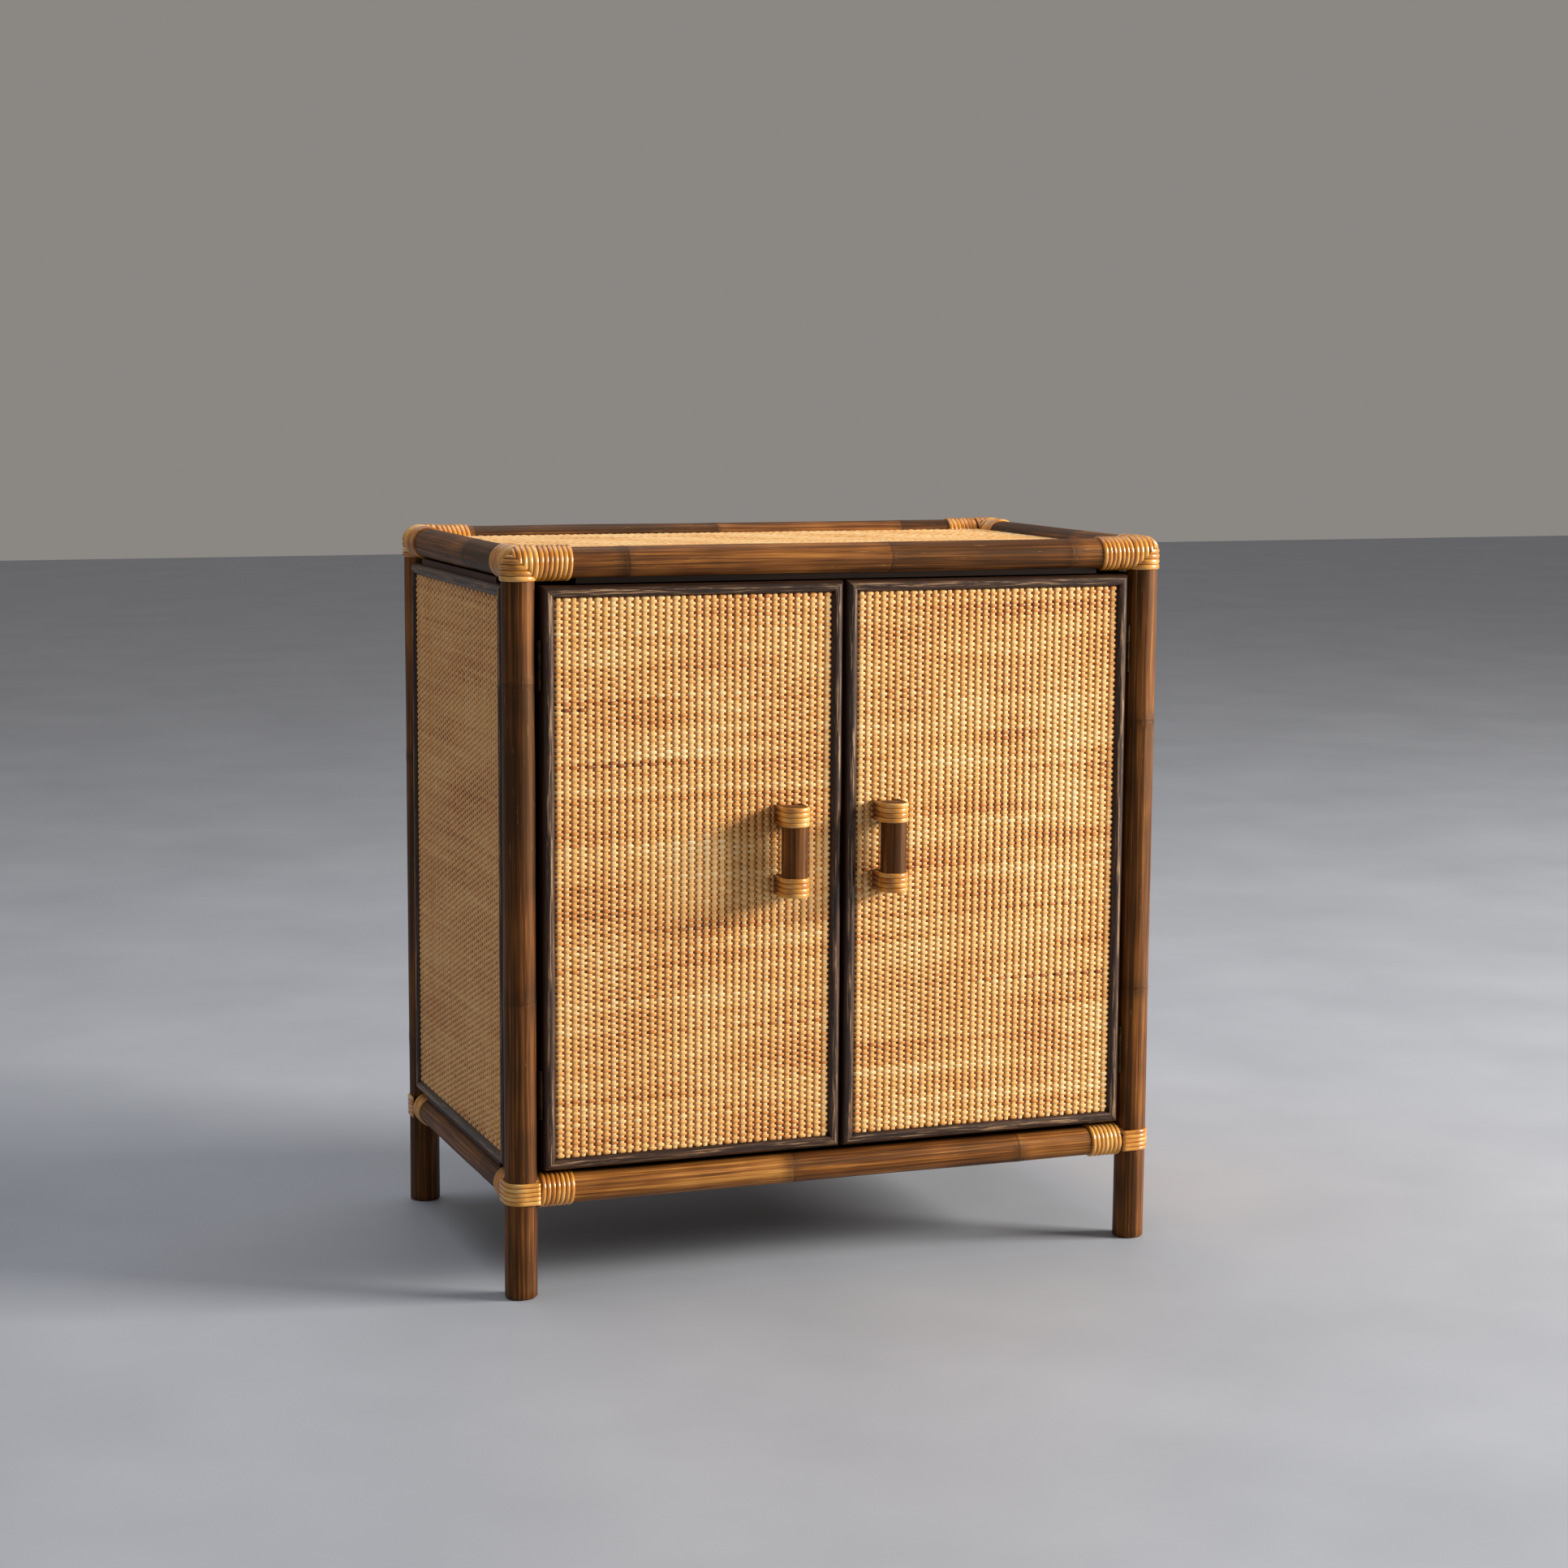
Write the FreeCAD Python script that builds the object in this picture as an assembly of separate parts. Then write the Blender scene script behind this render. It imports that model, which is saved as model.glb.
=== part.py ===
import FreeCAD, Part
import math
import os

V = FreeCAD.Vector

# A two-door storage cabinet of rattan poles with close-woven panels.
# Millimetres, +Z up, floor at z = 0, doors on the -Y side. The pieces are laid out about the middle of
# the four feet, then moved back by depth_shift, so that the origin is the bottom centre of the whole box.

# Poles
leg_spacing_x = 700.0
leg_spacing_y = 408.0
overall_height = 777.0
leg_d = 34.0
leg_top_round = 12.0
foot_chamfer = 2.0
top_rail_d = 33.0
top_rail_drop = 17.0
low_rail_d = 32.0
low_rail_height = 112.0

# Glued dowels between rails and legs
dowel_d = 10.0
dowel_in_leg = 9.0
dowel_in_rail = 25.0
glue_gap = 0.05

# Panels: board, woven sheet and half-round bead
face_setback = 2.0
panel_board_t = 12.0
door_board_t = 16.0
weave_t = 2.5
bead_w = 13.0
bead_h = 6.0
rail_gap = 6.0
top_board_t = 12.0
top_board_drop = 11.0
floor_board_t = 12.0
floor_board_rise = 8.0

# Rattan binding: round strip, its turns and its reach
strip_d = 3.8
strip_pitch = 4.9
strip_gap = 0.15
strip_run = 14.0
wrap_clearance = 1.2
long_rail_turns_top = 7
long_rail_turns_low = 7
side_rail_turns = 5
leg_passes_top = 6
leg_passes_low = 5
handle_passes = 4

# Shelf inside
shelf_height = 434.0
shelf_t = 12.0
shelf_setback = 34.0
shelf_side_gap = 0.5
shelf_back_gap = 2.0
cleat_w = 14.0
cleat_h = 18.0
cleat_l = 330.0

# Doors, their butt hinges and the header over them
hinge_gap = 5.0
meeting_gap = 4.0
hinge_l = 51.0
hinge_from_end = 80.0
hinge_leaf_w = 14.0
hinge_leaf_t = 1.2
hinge_pin_d = 2.6
hinge_run_gap = 0.06
hinge_clearance = 0.3
header_w = 16.0
header_h = 6.0
header_gap = 2.0

# Handles: a short pole on two blocks, screwed from inside
handle_d = 28.0
handle_l = 95.0
handle_gap = 9.0
left_handle_inset = 61.0
right_handle_inset = 46.0
handle_height = 458.0
handle_tip = 1.5
block_w = 22.0
screw_d = 4.0
screw_head_d = 8.0
screw_in_pole = 12.0

# Magnetic catches under the top
catch_rail_l = 160.0
catch_rail_t = 12.0
catch_rail_h = 30.0
catch_w = 40.0
catch_h = 14.0
catch_gap = 0.3
catch_offset = 45.0
strike_t = 1.5
strike_w = 34.0
strike_h = 12.0

# Places worked out from the sizes above
leg_x = leg_spacing_x / 2
leg_y = leg_spacing_y / 2
leg_r = leg_d / 2
top_r = top_rail_d / 2
low_r = low_rail_d / 2
top_z = overall_height - top_rail_drop
low_z = low_rail_height
face_out = leg_r - face_setback - bead_h
board_low_z = low_z + low_r
board_high_z = top_z - top_r
panel_low_z = board_low_z + rail_gap
panel_high_z = board_high_z - rail_gap
panel_mid_z = (panel_low_z + panel_high_z) / 2
panel_h = panel_high_z - panel_low_z
top_board_z = overall_height - top_board_drop
floor_top_z = low_z + floor_board_rise
door_face_y = -(leg_y + face_out)
door_back_y = door_face_y + door_board_t
door_w = (leg_spacing_x - leg_d - 2 * hinge_gap - meeting_gap) / 2
hinge_x = leg_x - leg_r - hinge_gap / 2
knuckle_d = hinge_gap - 2 * hinge_clearance
strip_out = strip_d / 2 + strip_gap
wrap_start = strip_run + strip_pitch / 2 + strip_d + strip_gap
notch_depth = strip_d + wrap_clearance
side_inner_x = leg_x + face_out - panel_board_t
handle_y = door_face_y - weave_t - handle_gap - handle_d / 2
block_h = handle_passes * strip_pitch
header_low_z = panel_high_z + header_gap
front_reach = handle_d / 2 + strip_gap + strip_d - handle_y
rear_reach = leg_y + leg_r + strip_gap + strip_d
depth_shift = V(0, (front_reach - rear_reach) / 2, 0)

X = V(1, 0, 0)
Y = V(0, 1, 0)
Z = V(0, 0, 1)
CORNERS = {
    "front_left": (-1, -1),
    "front_right": (1, -1),
    "rear_left": (-1, 1),
    "rear_right": (1, 1),
}


def box(x0, x1, y0, y1, z0, z1):
    """A box between two corners."""
    return Part.makeBox(x1 - x0, y1 - y0, z1 - z0, V(x0, y0, z0))


def rod(start, end, diameter):
    """A round bar from one point to another."""
    return Part.makeCylinder(diameter / 2, (end - start).Length, start, end - start)


def group(solids):
    """Separate solids kept together in one node."""
    return solids[0] if len(solids) == 1 else Part.makeCompound(solids)


def write(node, shape):
    """Write one node in its final place."""
    shape.translated(depth_shift).exportStep("parts/" + node + ".step")


# Strips that wind: straight runs and arcs, carried by a round section

def arc_middle(start, tangent, end):
    """The middle of the arc that leaves start along tangent and reaches end."""
    chord = end - start
    along = V(chord).normalize()
    side = (tangent - along * tangent.dot(along)).normalize()
    half_sweep = math.acos(max(-1.0, min(1.0, tangent.dot(along)))) / 2
    return start + chord * 0.5 + side * (chord.Length / 2 * math.tan(half_sweep))


def biarc(start, start_tangent, end, end_tangent):
    """Two arcs with one tangent where they join, from start to end."""
    chord = end - start
    both = start_tangent + end_tangent
    spread = 2 * (1 - start_tangent.dot(end_tangent))
    reach = (math.sqrt(chord.dot(both) ** 2 + spread * chord.dot(chord)) - chord.dot(both)) / spread
    joint = (start + end + (start_tangent - end_tangent) * reach) * 0.5
    return [Part.Arc(start, arc_middle(start, start_tangent, joint), joint).toShape(),
            Part.Arc(joint, arc_middle(end, end_tangent * -1, joint), end).toShape()]


def line_edge(start, end):
    """A straight run."""
    return Part.LineSegment(start, end).toShape()


def strip_tube(edges, start, direction):
    """The round strip along a path of edges."""
    path = Part.Wire(Part.__sortEdges__(edges))
    section = Part.Wire([Part.Circle(start, direction, strip_d / 2).toShape()])
    return path.makePipeShell([section], True, False)


def least_gap(edges):
    """Smallest space between stretches of a strip that lie further apart along it than a half turn."""
    step = strip_d / 2
    points = []
    for edge in edges:
        points += edge.discretize(max(3, int(edge.Length / step)))[:-1]
    skip = int(math.pi * strip_d / step) + 1
    least = min((points[i] - points[j]).Length
                for i in range(len(points)) for j in range(i + skip, len(points)))
    return least - strip_d


def winding(origin, along, out, radius, turns):
    """Turns round a rail: a helix of half-turn biarcs, with a straight run at each end."""
    across = along.cross(out)
    centre_r = radius + strip_out
    rise = strip_pitch / (2 * math.pi)
    speed = math.hypot(centre_r, rise)

    def point(turn):
        angle = 2 * math.pi * turn
        round_axis = out * math.cos(angle) + across * math.sin(angle)
        return origin + along * (rise * angle) + round_axis * centre_r

    def tangent(turn):
        angle = 2 * math.pi * turn
        round_axis = across * math.cos(angle) - out * math.sin(angle)
        return (round_axis * centre_r + along * rise) * (1 / speed)

    first = point(0) - tangent(0) * strip_d
    edges = [line_edge(first, point(0))]
    for half in range(2 * turns):
        edges += biarc(point(half / 2), tangent(half / 2), point((half + 1) / 2), tangent((half + 1) / 2))
    edges.append(line_edge(point(turns), point(turns) + tangent(turns) * strip_d))
    return strip_tube(edges, first, tangent(0)), least_gap(edges)


def to_and_fro(one_pass, turn_out, passes):
    """A strip that goes over and back, rising one pitch in a half circle after each pass.

    one_pass is the lowest pass: a list of straight runs, of two points, and arcs, of three.
    turn_out(at_end) is the way the strip points as it leaves the end of that pass, or its start.
    """
    edges = []
    for level in range(passes):
        lift = Z * (level * strip_pitch)
        runs = one_pass if level % 2 == 0 else [run[::-1] for run in one_pass[::-1]]
        for run in runs:
            places = [place + lift for place in run]
            edges.append(line_edge(*places) if len(places) == 2 else Part.Arc(*places).toShape())
        if level < passes - 1:
            leave = runs[-1][-1] + lift
            middle = leave + (Z + turn_out(level % 2 == 0)) * (strip_pitch / 2)
            edges.append(Part.Arc(leave, middle, leave + Z * strip_pitch).toShape())
    start = one_pass[0][0]
    return strip_tube(edges, start, one_pass[0][1] - start), least_gap(edges)


def leg_lashing(side_x, side_y, low, passes):
    """Passes of strip round the outer side of a leg, from its long rail to its side rail."""
    axis = V(side_x * leg_x, side_y * leg_y, low)
    reach = leg_r + strip_out
    out_x = X * side_x
    out_y = Y * side_y
    front = axis + out_y * reach
    corner = axis + (out_x + out_y) * (reach / math.sqrt(2))
    flank = axis + out_x * reach
    one_pass = [
        [front - out_x * strip_run, front],
        [front, corner, flank],
        [flank, flank - out_y * strip_run],
    ]
    return to_and_fro(one_pass, lambda at_flank: out_y * -1 if at_flank else out_x * -1, passes)


def handle_binding(bar_x, low):
    """Passes of strip from the door, round the front of a handle, and back to the door."""
    reach = handle_d / 2 + strip_out
    woven_y = door_face_y - weave_t
    turn_y = woven_y - strip_pitch / 2 - strip_d / 2 - strip_gap
    right = V(bar_x + reach, handle_y, low)
    front = V(bar_x, handle_y - reach, low)
    left = V(bar_x - reach, handle_y, low)
    one_pass = [
        [V(bar_x + reach, turn_y, low), right],
        [right, front, left],
        [left, V(bar_x - reach, turn_y, low)],
    ]
    return to_and_fro(one_pass, lambda at_left: Y, handle_passes)


# Poles and their dowels

def rail_ends():
    """Each rail: node, radius, axis start and end, and the way along it."""
    ends = []
    for level, z, diameter in (("top", top_z, top_rail_d), ("bottom", low_z, low_rail_d)):
        for side, y in (("front", -leg_y), ("rear", leg_y)):
            ends.append((level + "_rail_" + side, diameter, V(-leg_x, y, z), V(leg_x, y, z), X))
        for side, x in (("left", -leg_x), ("right", leg_x)):
            ends.append((level + "_rail_" + side, diameter, V(x, -leg_y, z), V(x, leg_y, z), Y))
    return ends


def dowels(extra=0.0):
    """A dowel across each joint of rail and leg, or its hole where extra is the glue gap."""
    bars = []
    for _, _, start, end, along in rail_ends():
        for leg_axis, inward in ((start, along), (end, along * -1)):
            deep = leg_axis + inward * (leg_r - dowel_in_leg - extra)
            far = leg_axis + inward * (leg_r + dowel_in_rail + extra)
            bars.append(rod(deep, far, dowel_d + 2 * extra))
    return bars


def leg(x, y):
    """A pole with a chamfered foot and a rounded top."""
    cut_r = leg_r - leg_top_round
    lean = leg_top_round * (1 - math.sqrt(0.5))
    foot = [V(0, 0, 0), V(leg_r - foot_chamfer, 0, 0), V(leg_r, 0, foot_chamfer)]
    shoulder = V(leg_r, 0, overall_height - leg_top_round)
    crown = V(cut_r, 0, overall_height)
    edges = [line_edge(foot[0], foot[1]), line_edge(foot[1], foot[2]), line_edge(foot[2], shoulder)]
    edges.append(Part.Arc(shoulder, V(leg_r - lean, 0, overall_height - lean), crown).toShape())
    edges.append(line_edge(crown, V(0, 0, overall_height)))
    edges.append(line_edge(V(0, 0, overall_height), foot[0]))
    pole = Part.Face(Part.Wire(edges)).revolve(V(0, 0, 0), Z, 360)
    pole.translate(V(x, y, 0))
    return pole


def poles():
    """Legs, long rails between them, side rails that also fit against the long ones, and dowels."""
    holes = dowels(glue_gap)
    for name, (side_x, side_y) in CORNERS.items():
        write("leg_" + name, leg(side_x * leg_x, side_y * leg_y).cut(holes))
    leg_bars = [rod(V(sx * leg_x, sy * leg_y, 0), V(sx * leg_x, sy * leg_y, 2 * overall_height), leg_d)
                for sx, sy in CORNERS.values()]
    long_bars = [rod(start, end, diameter) for _, diameter, start, end, along in rail_ends() if along == X]
    for node, diameter, start, end, along in rail_ends():
        in_the_way = leg_bars if along == X else leg_bars + long_bars
        write(node, rod(start, end, diameter).cut(in_the_way).cut(holes))
    write("rail_dowels", group(dowels()))


# Panels, in their own plane: u across, v up, n out of the face

def prism(place, outline, n0, n1):
    """An outline in a panel's plane, given thickness from n0 to n1. place is (centre, u, v, n)."""
    centre, across, up, out = place
    points = [centre + across * u + up * v + out * n0 for u, v in outline]
    return Part.Face(Part.makePolygon(points + points[:1])).extrude(out * (n1 - n0))


def rectangle(width, height):
    """Corners of a centred rectangle."""
    u, v = width / 2, height / 2
    return [(-u, -v), (u, -v), (u, v), (-u, v)]


def beads(place, width, height):
    """Four half-round strips on a panel's edge, mitred at the corners."""
    centre, across, up, out = place
    strips = []
    for along, side, length, span in ((across, up, width, height), (up, across, height, width)):
        for sign in (-1, 1):
            middle = centre + side * (sign * (span - bead_w) / 2) - along * (length / 2)
            low = middle - side * (bead_w / 2)
            high = middle + side * (bead_w / 2)
            round_side = Part.Arc(low, middle + out * bead_h, high).toShape()
            profile = Part.Wire([round_side, line_edge(high, low)])
            bar = Part.Face(profile).extrude(along * length)
            edge = centre + side * (sign * span / 2)
            inner = edge - side * (sign * bead_w)
            mitre = [edge - along * (length / 2), edge + along * (length / 2),
                     inner + along * (length / 2 - bead_w), inner - along * (length / 2 - bead_w)]
            trapezium = Part.Face(Part.makePolygon(mitre + mitre[:1])).extrude(out * bead_h)
            strips.append(bar.common(trapezium))
    return strips


def wrap_reach(turns):
    """How far a winding reaches from the axis of its leg."""
    return wrap_start + turns * strip_pitch + strip_d


def notched_board(place, width, height, thickness, low_turns, high_turns):
    """A board whose corners are cut back to clear the windings on the rails below and above it."""
    board = prism(place, rectangle(width, height), -thickness, 0)
    centre, across, up, out = place
    cuts = []
    for v_sign, turns in ((-1, low_turns), (1, high_turns)):
        for u_sign in (-1, 1):
            cut_w = wrap_reach(turns) - leg_r
            u = u_sign * (width - cut_w) / 2
            v = v_sign * (height - rail_gap) / 2
            corner = (centre + across * u + up * v, across, up, out)
            cuts.append(prism(corner, rectangle(cut_w, rail_gap), -thickness, 0))
    return board.cut(cuts)


def fixed_panels():
    """Woven panels between the legs at the sides and the back."""
    mid = V(0, 0, panel_mid_z)
    board_mid = V(0, 0, (board_low_z + board_high_z) / 2)
    side_w = leg_spacing_y - leg_d
    back_w = leg_spacing_x - leg_d
    walls = (
        ("side_%s_left", X * -1, Y * -1, leg_x, side_w, side_rail_turns, side_rail_turns),
        ("side_%s_right", X, Y, leg_x, side_w, side_rail_turns, side_rail_turns),
        ("back_%s", Y, X * -1, leg_y, back_w, long_rail_turns_low, long_rail_turns_top),
    )
    for name, out, across, axis, width, low_turns, high_turns in walls:
        face = out * (axis + face_out)
        board = notched_board((face + board_mid, across, Z, out), width, board_high_z - board_low_z,
                              panel_board_t, low_turns, high_turns)
        write(name % "board", board)
        place = (face + mid, across, Z, out)
        write(name % "weave", prism(place, rectangle(width - 2 * bead_w, panel_h - 2 * bead_w), 0, weave_t))
        write(name % "beads", group(beads(place, width, panel_h)))


def level_board(high, thickness, rail_r, turns):
    """A board let in between four rails, its corners cut back to clear the windings."""
    half_x = leg_x - rail_r
    half_y = leg_y - rail_r
    low = high - thickness
    board = box(-half_x, half_x, -half_y, half_y, low, high)
    long_x = half_x - (leg_x - wrap_reach(turns))
    long_y = half_y - (leg_y - wrap_reach(side_rail_turns))
    cuts = []
    for side_x, side_y in CORNERS.values():
        for reach_x, reach_y in ((long_x, notch_depth), (notch_depth, long_y)):
            x = sorted((side_x * half_x, side_x * (half_x - reach_x)))
            y = sorted((side_y * half_y, side_y * (half_y - reach_y)))
            cuts.append(box(x[0], x[1], y[0], y[1], low, high))
    return board.cut(cuts)


def level_boards():
    """The woven top, the floor and the shelf on its cleats."""
    woven_z = top_board_z - weave_t
    write("top_board", level_board(woven_z, top_board_t, top_r, long_rail_turns_top))
    write("top_weave", level_board(top_board_z, weave_t, top_r, long_rail_turns_top))
    write("floor_board", level_board(floor_top_z, floor_board_t, low_r, long_rail_turns_low))
    front = door_back_y + shelf_setback - catch_rail_t
    back = leg_y - leg_r - shelf_back_gap
    half = side_inner_x - shelf_side_gap
    low = shelf_height - shelf_t
    write("shelf", box(-half, half, front, back, low, shelf_height))
    middle = (front + back) / 2
    ends = (middle - cleat_l / 2, middle + cleat_l / 2)
    write("shelf_cleats", group([box(x, x + cleat_w, *ends, low - cleat_h, low)
                                 for x in (-side_inner_x, side_inner_x - cleat_w)]))


def header():
    """A strip under the front top rail, hollowed to sit on it, between the two windings."""
    half = leg_x - wrap_reach(long_rail_turns_top)
    front = -leg_y - header_w / 2
    strip = box(-half, half, front, front + header_w, header_low_z, header_low_z + header_h)
    rail = rod(V(-leg_x, -leg_y, top_z), V(leg_x, -leg_y, top_z), top_rail_d)
    write("door_header", strip.cut(rail))


def catches():
    """A rail under the top board, with a magnet housing for each door."""
    under = top_board_z - weave_t - top_board_t
    front = top_r - leg_y
    low = under - catch_rail_h
    write("catch_rail", box(-catch_rail_l / 2, catch_rail_l / 2, front, front + catch_rail_t, low, under))
    face = door_back_y + strike_t + catch_gap
    write("door_catches", group([box(x - catch_w / 2, x + catch_w / 2, face, front, low, low + catch_h)
                                 for x in (-catch_offset, catch_offset)]))


# Doors

def hinge_heights():
    """Heights of the middles of a door's two hinges."""
    return panel_low_z + hinge_from_end, panel_high_z - hinge_from_end


def hinge_leaf(side, z, toward):
    """One leaf of a butt hinge: a plate beside the gap, and its knuckles round the pin.

    toward is the way along X from the pin to the plate: to the door, which has the middle knuckle,
    or to the leg, which has the outer two.
    """
    third = hinge_l / 3
    on_door = toward == -side
    play = hinge_clearance / 2
    spans = [(-third / 2 + play, third / 2 - play)]
    if not on_door:
        spans = [(-hinge_l / 2, -third / 2 - play), (third / 2 + play, hinge_l / 2)]
    axis = V(side * hinge_x, door_face_y, z)
    near, far = sorted((toward * (hinge_gap / 2 - hinge_leaf_t), toward * hinge_gap / 2))
    clear = knuckle_d / 2 + hinge_clearance
    x0, x1, y = axis.x + near, axis.x + far, axis.y
    leaf = box(x0, x1, y + clear, y + hinge_leaf_w, z - hinge_l / 2, z + hinge_l / 2)
    bore_gap = hinge_run_gap if on_door else glue_gap
    for low, high in spans:
        knuckle = rod(axis + Z * low, axis + Z * high, knuckle_d)
        leaf = leaf.fuse([knuckle, box(x0, x1, y, y + clear, z + low, z + high)])
    bore = rod(axis - Z * hinge_l, axis + Z * hinge_l, hinge_pin_d + 2 * bore_gap)
    return leaf.removeSplitter().cut(bore)


def hinges():
    """The leaves on the legs, and the pins."""
    leaves = []
    pins = []
    for side in (-1, 1):
        for z in hinge_heights():
            leaves.append(hinge_leaf(side, z, side))
            axis = V(side * hinge_x, door_face_y, z)
            pins.append(rod(axis - Z * (hinge_l / 2), axis + Z * (hinge_l / 2), hinge_pin_d))
    write("hinge_leg_leaves", group(leaves))
    write("hinge_pins", group(pins))


def door(name, side, handle_inset):
    """One door: board, weave, beads, hinge leaves, handle and strike plate. side is -1 for the left one."""
    middle_x = side * (meeting_gap + door_w) / 2
    bar_x = side * (meeting_gap / 2 + handle_inset)
    place = (V(middle_x, door_face_y, panel_mid_z), X, Z, Y * -1)
    board = prism(place, rectangle(door_w, panel_h), -door_board_t, 0)
    weave = prism(place, rectangle(door_w - 2 * bead_w, panel_h - 2 * bead_w), 0, weave_t)
    board_cuts = []
    bar_middle = V(bar_x, handle_y, handle_height)
    bar = rod(bar_middle - Z * (handle_l / 2), bar_middle + Z * (handle_l / 2), handle_d)
    bar_cuts = []
    screws = []
    bindings = []
    for level, sign in (("upper", 1), ("lower", -1)):
        z = handle_height + sign * (handle_l / 2 - handle_tip - block_h / 2)
        block = box(bar_x - block_w / 2, bar_x + block_w / 2, handle_y, door_face_y,
                    z - block_h / 2, z + block_h / 2)
        hole = screw(bar_x, z, glue_gap)
        write(name + "_handle_block_" + level, block.cut([bar, hole]))
        screws.append(screw(bar_x, z, 0.0))
        board_cuts.append(hole)
        bar_cuts.append(hole)
        weave = weave.cut(block)
        strip, gap = handle_binding(bar_x, z - (handle_passes - 1) * strip_pitch / 2)
        print("%s handle binding, %s: least gap to itself %.2f mm" % (name, level, gap))
        bindings.append(strip)
    write(name + "_board", board.cut(board_cuts))
    write(name + "_weave", weave)
    write(name + "_beads", group(beads(place, door_w, panel_h)))
    write(name + "_hinge_leaves", group([hinge_leaf(side, z, -side) for z in hinge_heights()]))
    write(name + "_handle_bar", bar.cut(bar_cuts))
    write(name + "_handle_screws", group(screws))
    write(name + "_handle_bindings", group(bindings))
    strike_x = side * catch_offset
    strike_z = top_board_z - weave_t - top_board_t - catch_rail_h + catch_h / 2
    write(name + "_strike", box(strike_x - strike_w / 2, strike_x + strike_w / 2,
                                door_back_y, door_back_y + strike_t,
                                strike_z - strike_h / 2, strike_z + strike_h / 2))


def screw(x, z, extra):
    """A countersunk screw from the back of a door into the handle, or its hole."""
    back = V(x, door_back_y, z)
    head_l = (screw_head_d - screw_d) / 2
    tip = V(x, handle_y + handle_d / 2 - screw_in_pole - extra, z)
    head = Part.makeCone(screw_head_d / 2 + extra, screw_d / 2 + extra, head_l, back, Y * -1)
    return head.fuse(rod(back - Y * head_l, tip, screw_d + 2 * extra)).removeSplitter()


def bindings():
    """At each corner: turns on the long rail and on the side rail, and passes round the leg."""
    levels = (
        ("top", top_z, top_r, long_rail_turns_top, leg_passes_top),
        ("bottom", low_z, low_r, long_rail_turns_low, leg_passes_low),
    )
    for level, z, radius, long_turns, passes in levels:
        for name, (side_x, side_y) in CORNERS.items():
            axis = V(side_x * leg_x, side_y * leg_y, z)
            inward_x = X * -side_x
            inward_y = Y * -side_y
            pieces = [
                winding(axis + inward_x * wrap_start, inward_x, Z * -1, radius, long_turns),
                winding(axis + inward_y * wrap_start, inward_y, Z * -1, radius, side_rail_turns),
                leg_lashing(side_x, side_y, z - (passes - 1) * strip_pitch / 2, passes),
            ]
            print("%s %s binding: least gap to itself %s mm"
                  % (level, name, ", ".join("%.2f" % gap for _, gap in pieces)))
            write("binding_%s_%s" % (level, name), group([solid for solid, _ in pieces]))


os.makedirs("parts", exist_ok=True)
poles()
fixed_panels()
level_boards()
header()
catches()
hinges()
door("left_door", -1, left_handle_inset)
door("right_door", 1, right_handle_inset)
bindings()
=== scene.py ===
import math

import bpy
import numpy as np
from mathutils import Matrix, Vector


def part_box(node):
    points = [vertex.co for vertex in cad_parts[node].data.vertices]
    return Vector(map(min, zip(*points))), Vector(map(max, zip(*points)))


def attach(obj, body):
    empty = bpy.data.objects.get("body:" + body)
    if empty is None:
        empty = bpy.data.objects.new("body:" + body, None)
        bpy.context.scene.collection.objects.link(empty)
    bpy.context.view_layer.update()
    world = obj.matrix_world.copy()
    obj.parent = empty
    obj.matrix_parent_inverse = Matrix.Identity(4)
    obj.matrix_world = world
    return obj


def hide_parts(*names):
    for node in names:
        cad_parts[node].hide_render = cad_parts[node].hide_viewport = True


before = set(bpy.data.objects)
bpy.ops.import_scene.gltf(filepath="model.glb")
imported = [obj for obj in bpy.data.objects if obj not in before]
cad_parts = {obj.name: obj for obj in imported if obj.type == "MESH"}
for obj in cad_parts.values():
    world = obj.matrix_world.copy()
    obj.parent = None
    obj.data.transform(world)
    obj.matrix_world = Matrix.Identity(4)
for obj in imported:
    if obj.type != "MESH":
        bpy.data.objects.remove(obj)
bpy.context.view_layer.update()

# A two-door cabinet of stained cane poles: woven panels, half-round beads and peel bindings.
# Metres, +Z up, floor at z = 0, doors on the -Y side.

MM = 0.001
X, Y, Z = np.eye(3)
DOORS = ("left_door", "right_door")
CORNERS = {"front_left": (-1, -1), "front_right": (1, -1), "rear_left": (-1, 1), "rear_right": (1, 1)}
RAILS = {"front": ("front_left", "front_right"), "rear": ("rear_left", "rear_right"),
         "left": ("front_left", "rear_left"), "right": ("front_right", "rear_right")}
rng = np.random.default_rng(41)

# Every pole, strip and strand takes its grain from its own place in a stretch of this length. Shades
# are steps of its tone, darker below zero and paler above
GRAIN_REACH = 3.0

# Faces that meet more sharply than this keep a crisp edge, and each band of a map keeps this margin
SHARP_ANGLE = math.radians(66)
MAP_MARGIN = 0.05

# Smooth random fields: how many sines, and the shares of the reach that their wavelengths take
DRIFT_WAVES = 9
DRIFT_SPREAD = (0.7, 1.6)

# Cane poles, and the knots between their lengths of growth, with circles set close together at a knot.
# The waves are in radians per metre, the first knot is a share of a spacing, and a bar's knot is a share
# of its length
POLE_SIDES = 40
POLE_STEP = 10 * MM
POLE_UNEVEN = 0.12 * MM
POLE_WAVES = (27, 19)
KNOT_SPACING = (190 * MM, 330 * MM)
FIRST_KNOT = (0.2, 0.8)
KNOT_FREE_END = 40 * MM
KNOT_SWELL = 0.3 * MM
KNOT_REACH = 6 * MM
KNOT_GROOVE = 0.15 * MM
GROOVE_REACH = 0.8 * MM
KNOT_SLANT = 2 * MM
KNOT_STEPS = np.array([-9, -6, -4, -2.4, -1.3, -0.7, -0.2, 0.2, 0.7, 1.3, 2.4, 4, 6, 9]) * MM
GROWTH_SHADES = 0.5
FOOT_CHAMFER = 2 * MM
CROWN_STEPS = 12
CROWN_TIP = 0.999
BAR_ROUND = 2 * MM
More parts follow.
